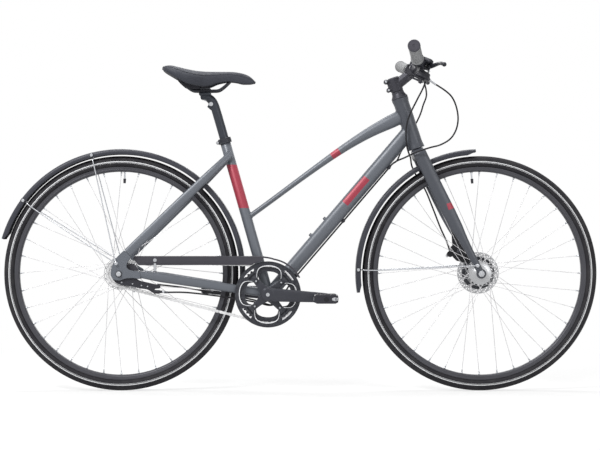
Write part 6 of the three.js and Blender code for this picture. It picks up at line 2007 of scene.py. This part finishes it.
# Bottle bosses with their screws, and the clips under the down tube
screws = [bolt(basis(down_point(place, BOSS_TOP), down_up, down_along), 4.6, 2.6) for place in BOSS_PLACES]
piece("bottle_screws", merged(*screws), dark_metal, "frame")
clips = []
for place in CLIP_PLACES:
    clip_place = basis(down_point(place, -22.5), LEFT, down_along)
    clips.append(block((-7, -8.6, -5.6), (7, 8.6, 1.5), clip_place, 1.6))
    clips.append(rod(down_point(place, -19), down_point(place, -29.5), 3, 20))
piece("cable_clips", merged(*clips), plastic, "frame")

# Control cables

CABLE_RADIUS = 2.45
CABLE_SPREAD, CABLE_DROP = 6, 5


def through_clips(y):
    """Two places at each clip under the down tube, from front to back."""
    along = [place + offset for place in CLIP_PLACES[::-1] for offset in (14, -14)]
    return [down_point(distance, -20 - CABLE_DROP, y) for distance in along]


def cable_start(frame_at_bar, end, *steps):
    """The first places of a cable, steps outward and forward from the end of its nozzle."""
    return [STEER @ frame_at_bar.point(end[0] + out, end[1] + forward, end[2]) for out, forward in steps]


def lever_start(side):
    return cable_start(BarFrame(side, PERCH_PLACE), ADJUSTER_END, (-0.5, 0.2), (-12, 4))


def listed(*points):
    return [at(*p) for p in points]


shifter_start = cable_start(SHIFTER, NOZZLE_END, (-0.4, 0.4), (-8, 8))
front_brake_run = lever_start(-1) + listed(
    (362, -84, 900), (343, -56, 860), (322, -38, 815), (314, -33, 785), (313, -30, 750), (317, -24, 720),
    (328, -4, 692), (334, 24, 668), (349, 42, 640), (375, 57, 601), (399, 64, 545), (423, 63, 483),
    (441, 56, 442), (450, 47, 413),
)
rear_brake_run = [
    *lever_start(1), *listed((382, 83, 887), (371, 66, 855), (360, 55, 823), (330, 48, 765)),
    down_point(578, -22, 29), down_point(550, -29, 13), *through_clips(CABLE_SPREAD), *listed(
        (-80, 9, 256), (-130, 30, 266), (-190, 44, 278), (-260, 49, 289), (-350, 58, 304), (-410, 60, 311),
        (-432, 60, 313),
    ),
]
gear_run = [
    *shifter_start, *listed(
        (444, -78, 868), (463, -64, 817), (460, -58, 778), (443, -58, 748), (413, -62, 729), (381, -68, 720),
        (344, -66, 708), (307, -42, 691),
    ),
    down_point(548, -29, -14), *through_clips(-CABLE_SPREAD), *listed(
        (-80, -9, 256), (-130, -30, 264), (-190, -36, 275), (-260, -42, 285), (-340, -55, 294),
        (-401, -62.6, 294.6),
    ),
]


def cable(name, run, replaces, steps=420):
    """A cable from one place to another in metres, made once and held by no body."""
    shape = wire(run, CABLE_RADIUS, 14, steps)
    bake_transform(piece(name, shape, cable_cover, None, replaces, smooth=70))


def ferrule(run, length):
    along = (run[1] - run[0]).normalized()
    return rod(run[0], run[0] + along * length, 3.1, 18, edge=0.7)


crossing = front_brake_run.index(at(328, -4, 692))
cable("front_brake_cable_upper", front_brake_run[:crossing + 1], "front_brake_cable",
      200)
cable("front_brake_cable_lower", front_brake_run[crossing:], (),
      200)
cable("rear_brake_cable_run", rear_brake_run, "rear_brake_cable")
cable("gear_cable_run", gear_run, "gear_cable")
on_fork = [ferrule(run, 20) for run in (front_brake_run, rear_brake_run, gear_run)]
piece("fork_cable_ends", merged(*on_fork), silver, "fork_assembly")
piece("caliper_cable_end", ferrule(front_brake_run[::-1], 10), dark_metal, "fork_assembly")
on_frame = [ferrule(run[::-1], 12) for run in (rear_brake_run, gear_run)]
piece("frame_cable_ends", merged(*on_frame), dark_metal, "frame")

# Bare inner wires between each cable's end and the arm that it pulls
for name, start, end, held, pulled in (
    ("rear_brake", rear_brake_run[-1], rear_axle + at(30, 62.4, -53), "frame", "rear_brake_pull"),
    ("gear", gear_run[-1], rear_axle + at(4, -55.4, -24), "frame", "hub_pulley"),
    (
        "front_brake", front_brake_run[-1], front_axle + pivot + at(-9, 47, -6), "fork_assembly",
        "front_brake_pull",
    ),
):
    wire_rod = wire([start, blend(start, end, 0.35), blend(start, end, 0.7), end], WIRE_RADIUS, 10, 30)
    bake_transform(piece(f"{name}_wire", wire_rod, spoke_steel, None))

# CAD pieces that stay in view
for name, material in (
    ("bottom_bracket_unit", dark_metal), ("headset_bearing_lower", silver), ("headset_bearing_upper", silver),
):
    for material_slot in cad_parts[name].material_slots:
        material_slot.material = material

# Floor and light. The floor's near part takes the shadow, and its far part glows as white as the world

NEAR_FLOOR, FAR_FLOOR = 0.9, 1.9
FLOOR_ALBEDO, NEAR_ALBEDO, NEAR_GLOW = 0.72, 0.3, 0.66
WORLD_LIGHT = 0.26
AIM = (0, 0, 0.5)

floor_mesh = bpy.data.meshes.new("floor")
floor_mesh.from_pydata([(-6, -5, 0), (6, -5, 0), (6, 6, 0), (-6, 6, 0)], [], [(0, 1, 2, 3)])
floor = bpy.data.objects.new("floor", floor_mesh)
bpy.context.scene.collection.objects.link(floor)
floor_tree = Tree(bpy.data.materials.new("floor"))
away = floor_tree.node(
    "ShaderNodeVectorMath", {0: floor_tree.position()}, operation="LENGTH",
).outputs["Value"]
shown = floor_tree.seen()
shown_albedo = floor_tree.ranged(away, NEAR_ALBEDO, 0, NEAR_FLOOR, FAR_FLOOR)
change = floor_tree.math("MULTIPLY", shown, floor_tree.math("SUBTRACT", shown_albedo, FLOOR_ALBEDO))
glow = floor_tree.ranged(away, NEAR_GLOW, 1.0, NEAR_FLOOR, FAR_FLOOR)
floor_tree.set(
    Base_Color=floor_tree.math("ADD", change, FLOOR_ALBEDO),
    Roughness=0.9,
    Specular_IOR_Level=0,
    Emission_Color=(1, 1, 1, 1),
    Emission_Strength=floor_tree.math("MULTIPLY", shown, glow),
)
floor_mesh.materials.append(floor_tree.owner)

world = bpy.data.worlds.new("world")
bpy.context.scene.world = world
sky = Tree(world, "Background")
sky.set(Color=(1, 1, 1, 1), Strength=sky.ranged(sky.seen(), WORLD_LIGHT, 1.0, 0.0, 1.0))


def lamp(name, place, size, power):
    data = bpy.data.lights.new(name, "AREA")
    data.shape = "RECTANGLE"
    data.size, data.size_y = size
    data.energy = power
    made = bpy.data.objects.new(name, data)
    made.location = place
    made.rotation_euler = (Vector(AIM) - Vector(place)).to_track_quat("-Z", "Y").to_euler()
    bpy.context.scene.collection.objects.link(made)


lamp("key", (-2.2, -2.6, 3.4), (1.8, 1.0), 165)
lamp("fill", (2.8, -3.4, 1.6), (2.0, 2.0), 40)
lamp("top", (0, 0.6, 3.6), (3.0, 1.0), 85)
lamp("back", (0.5, 3.6, 1.8), (3.0, 2.0), 35)

bpy.context.scene.view_settings.view_transform = "Standard"
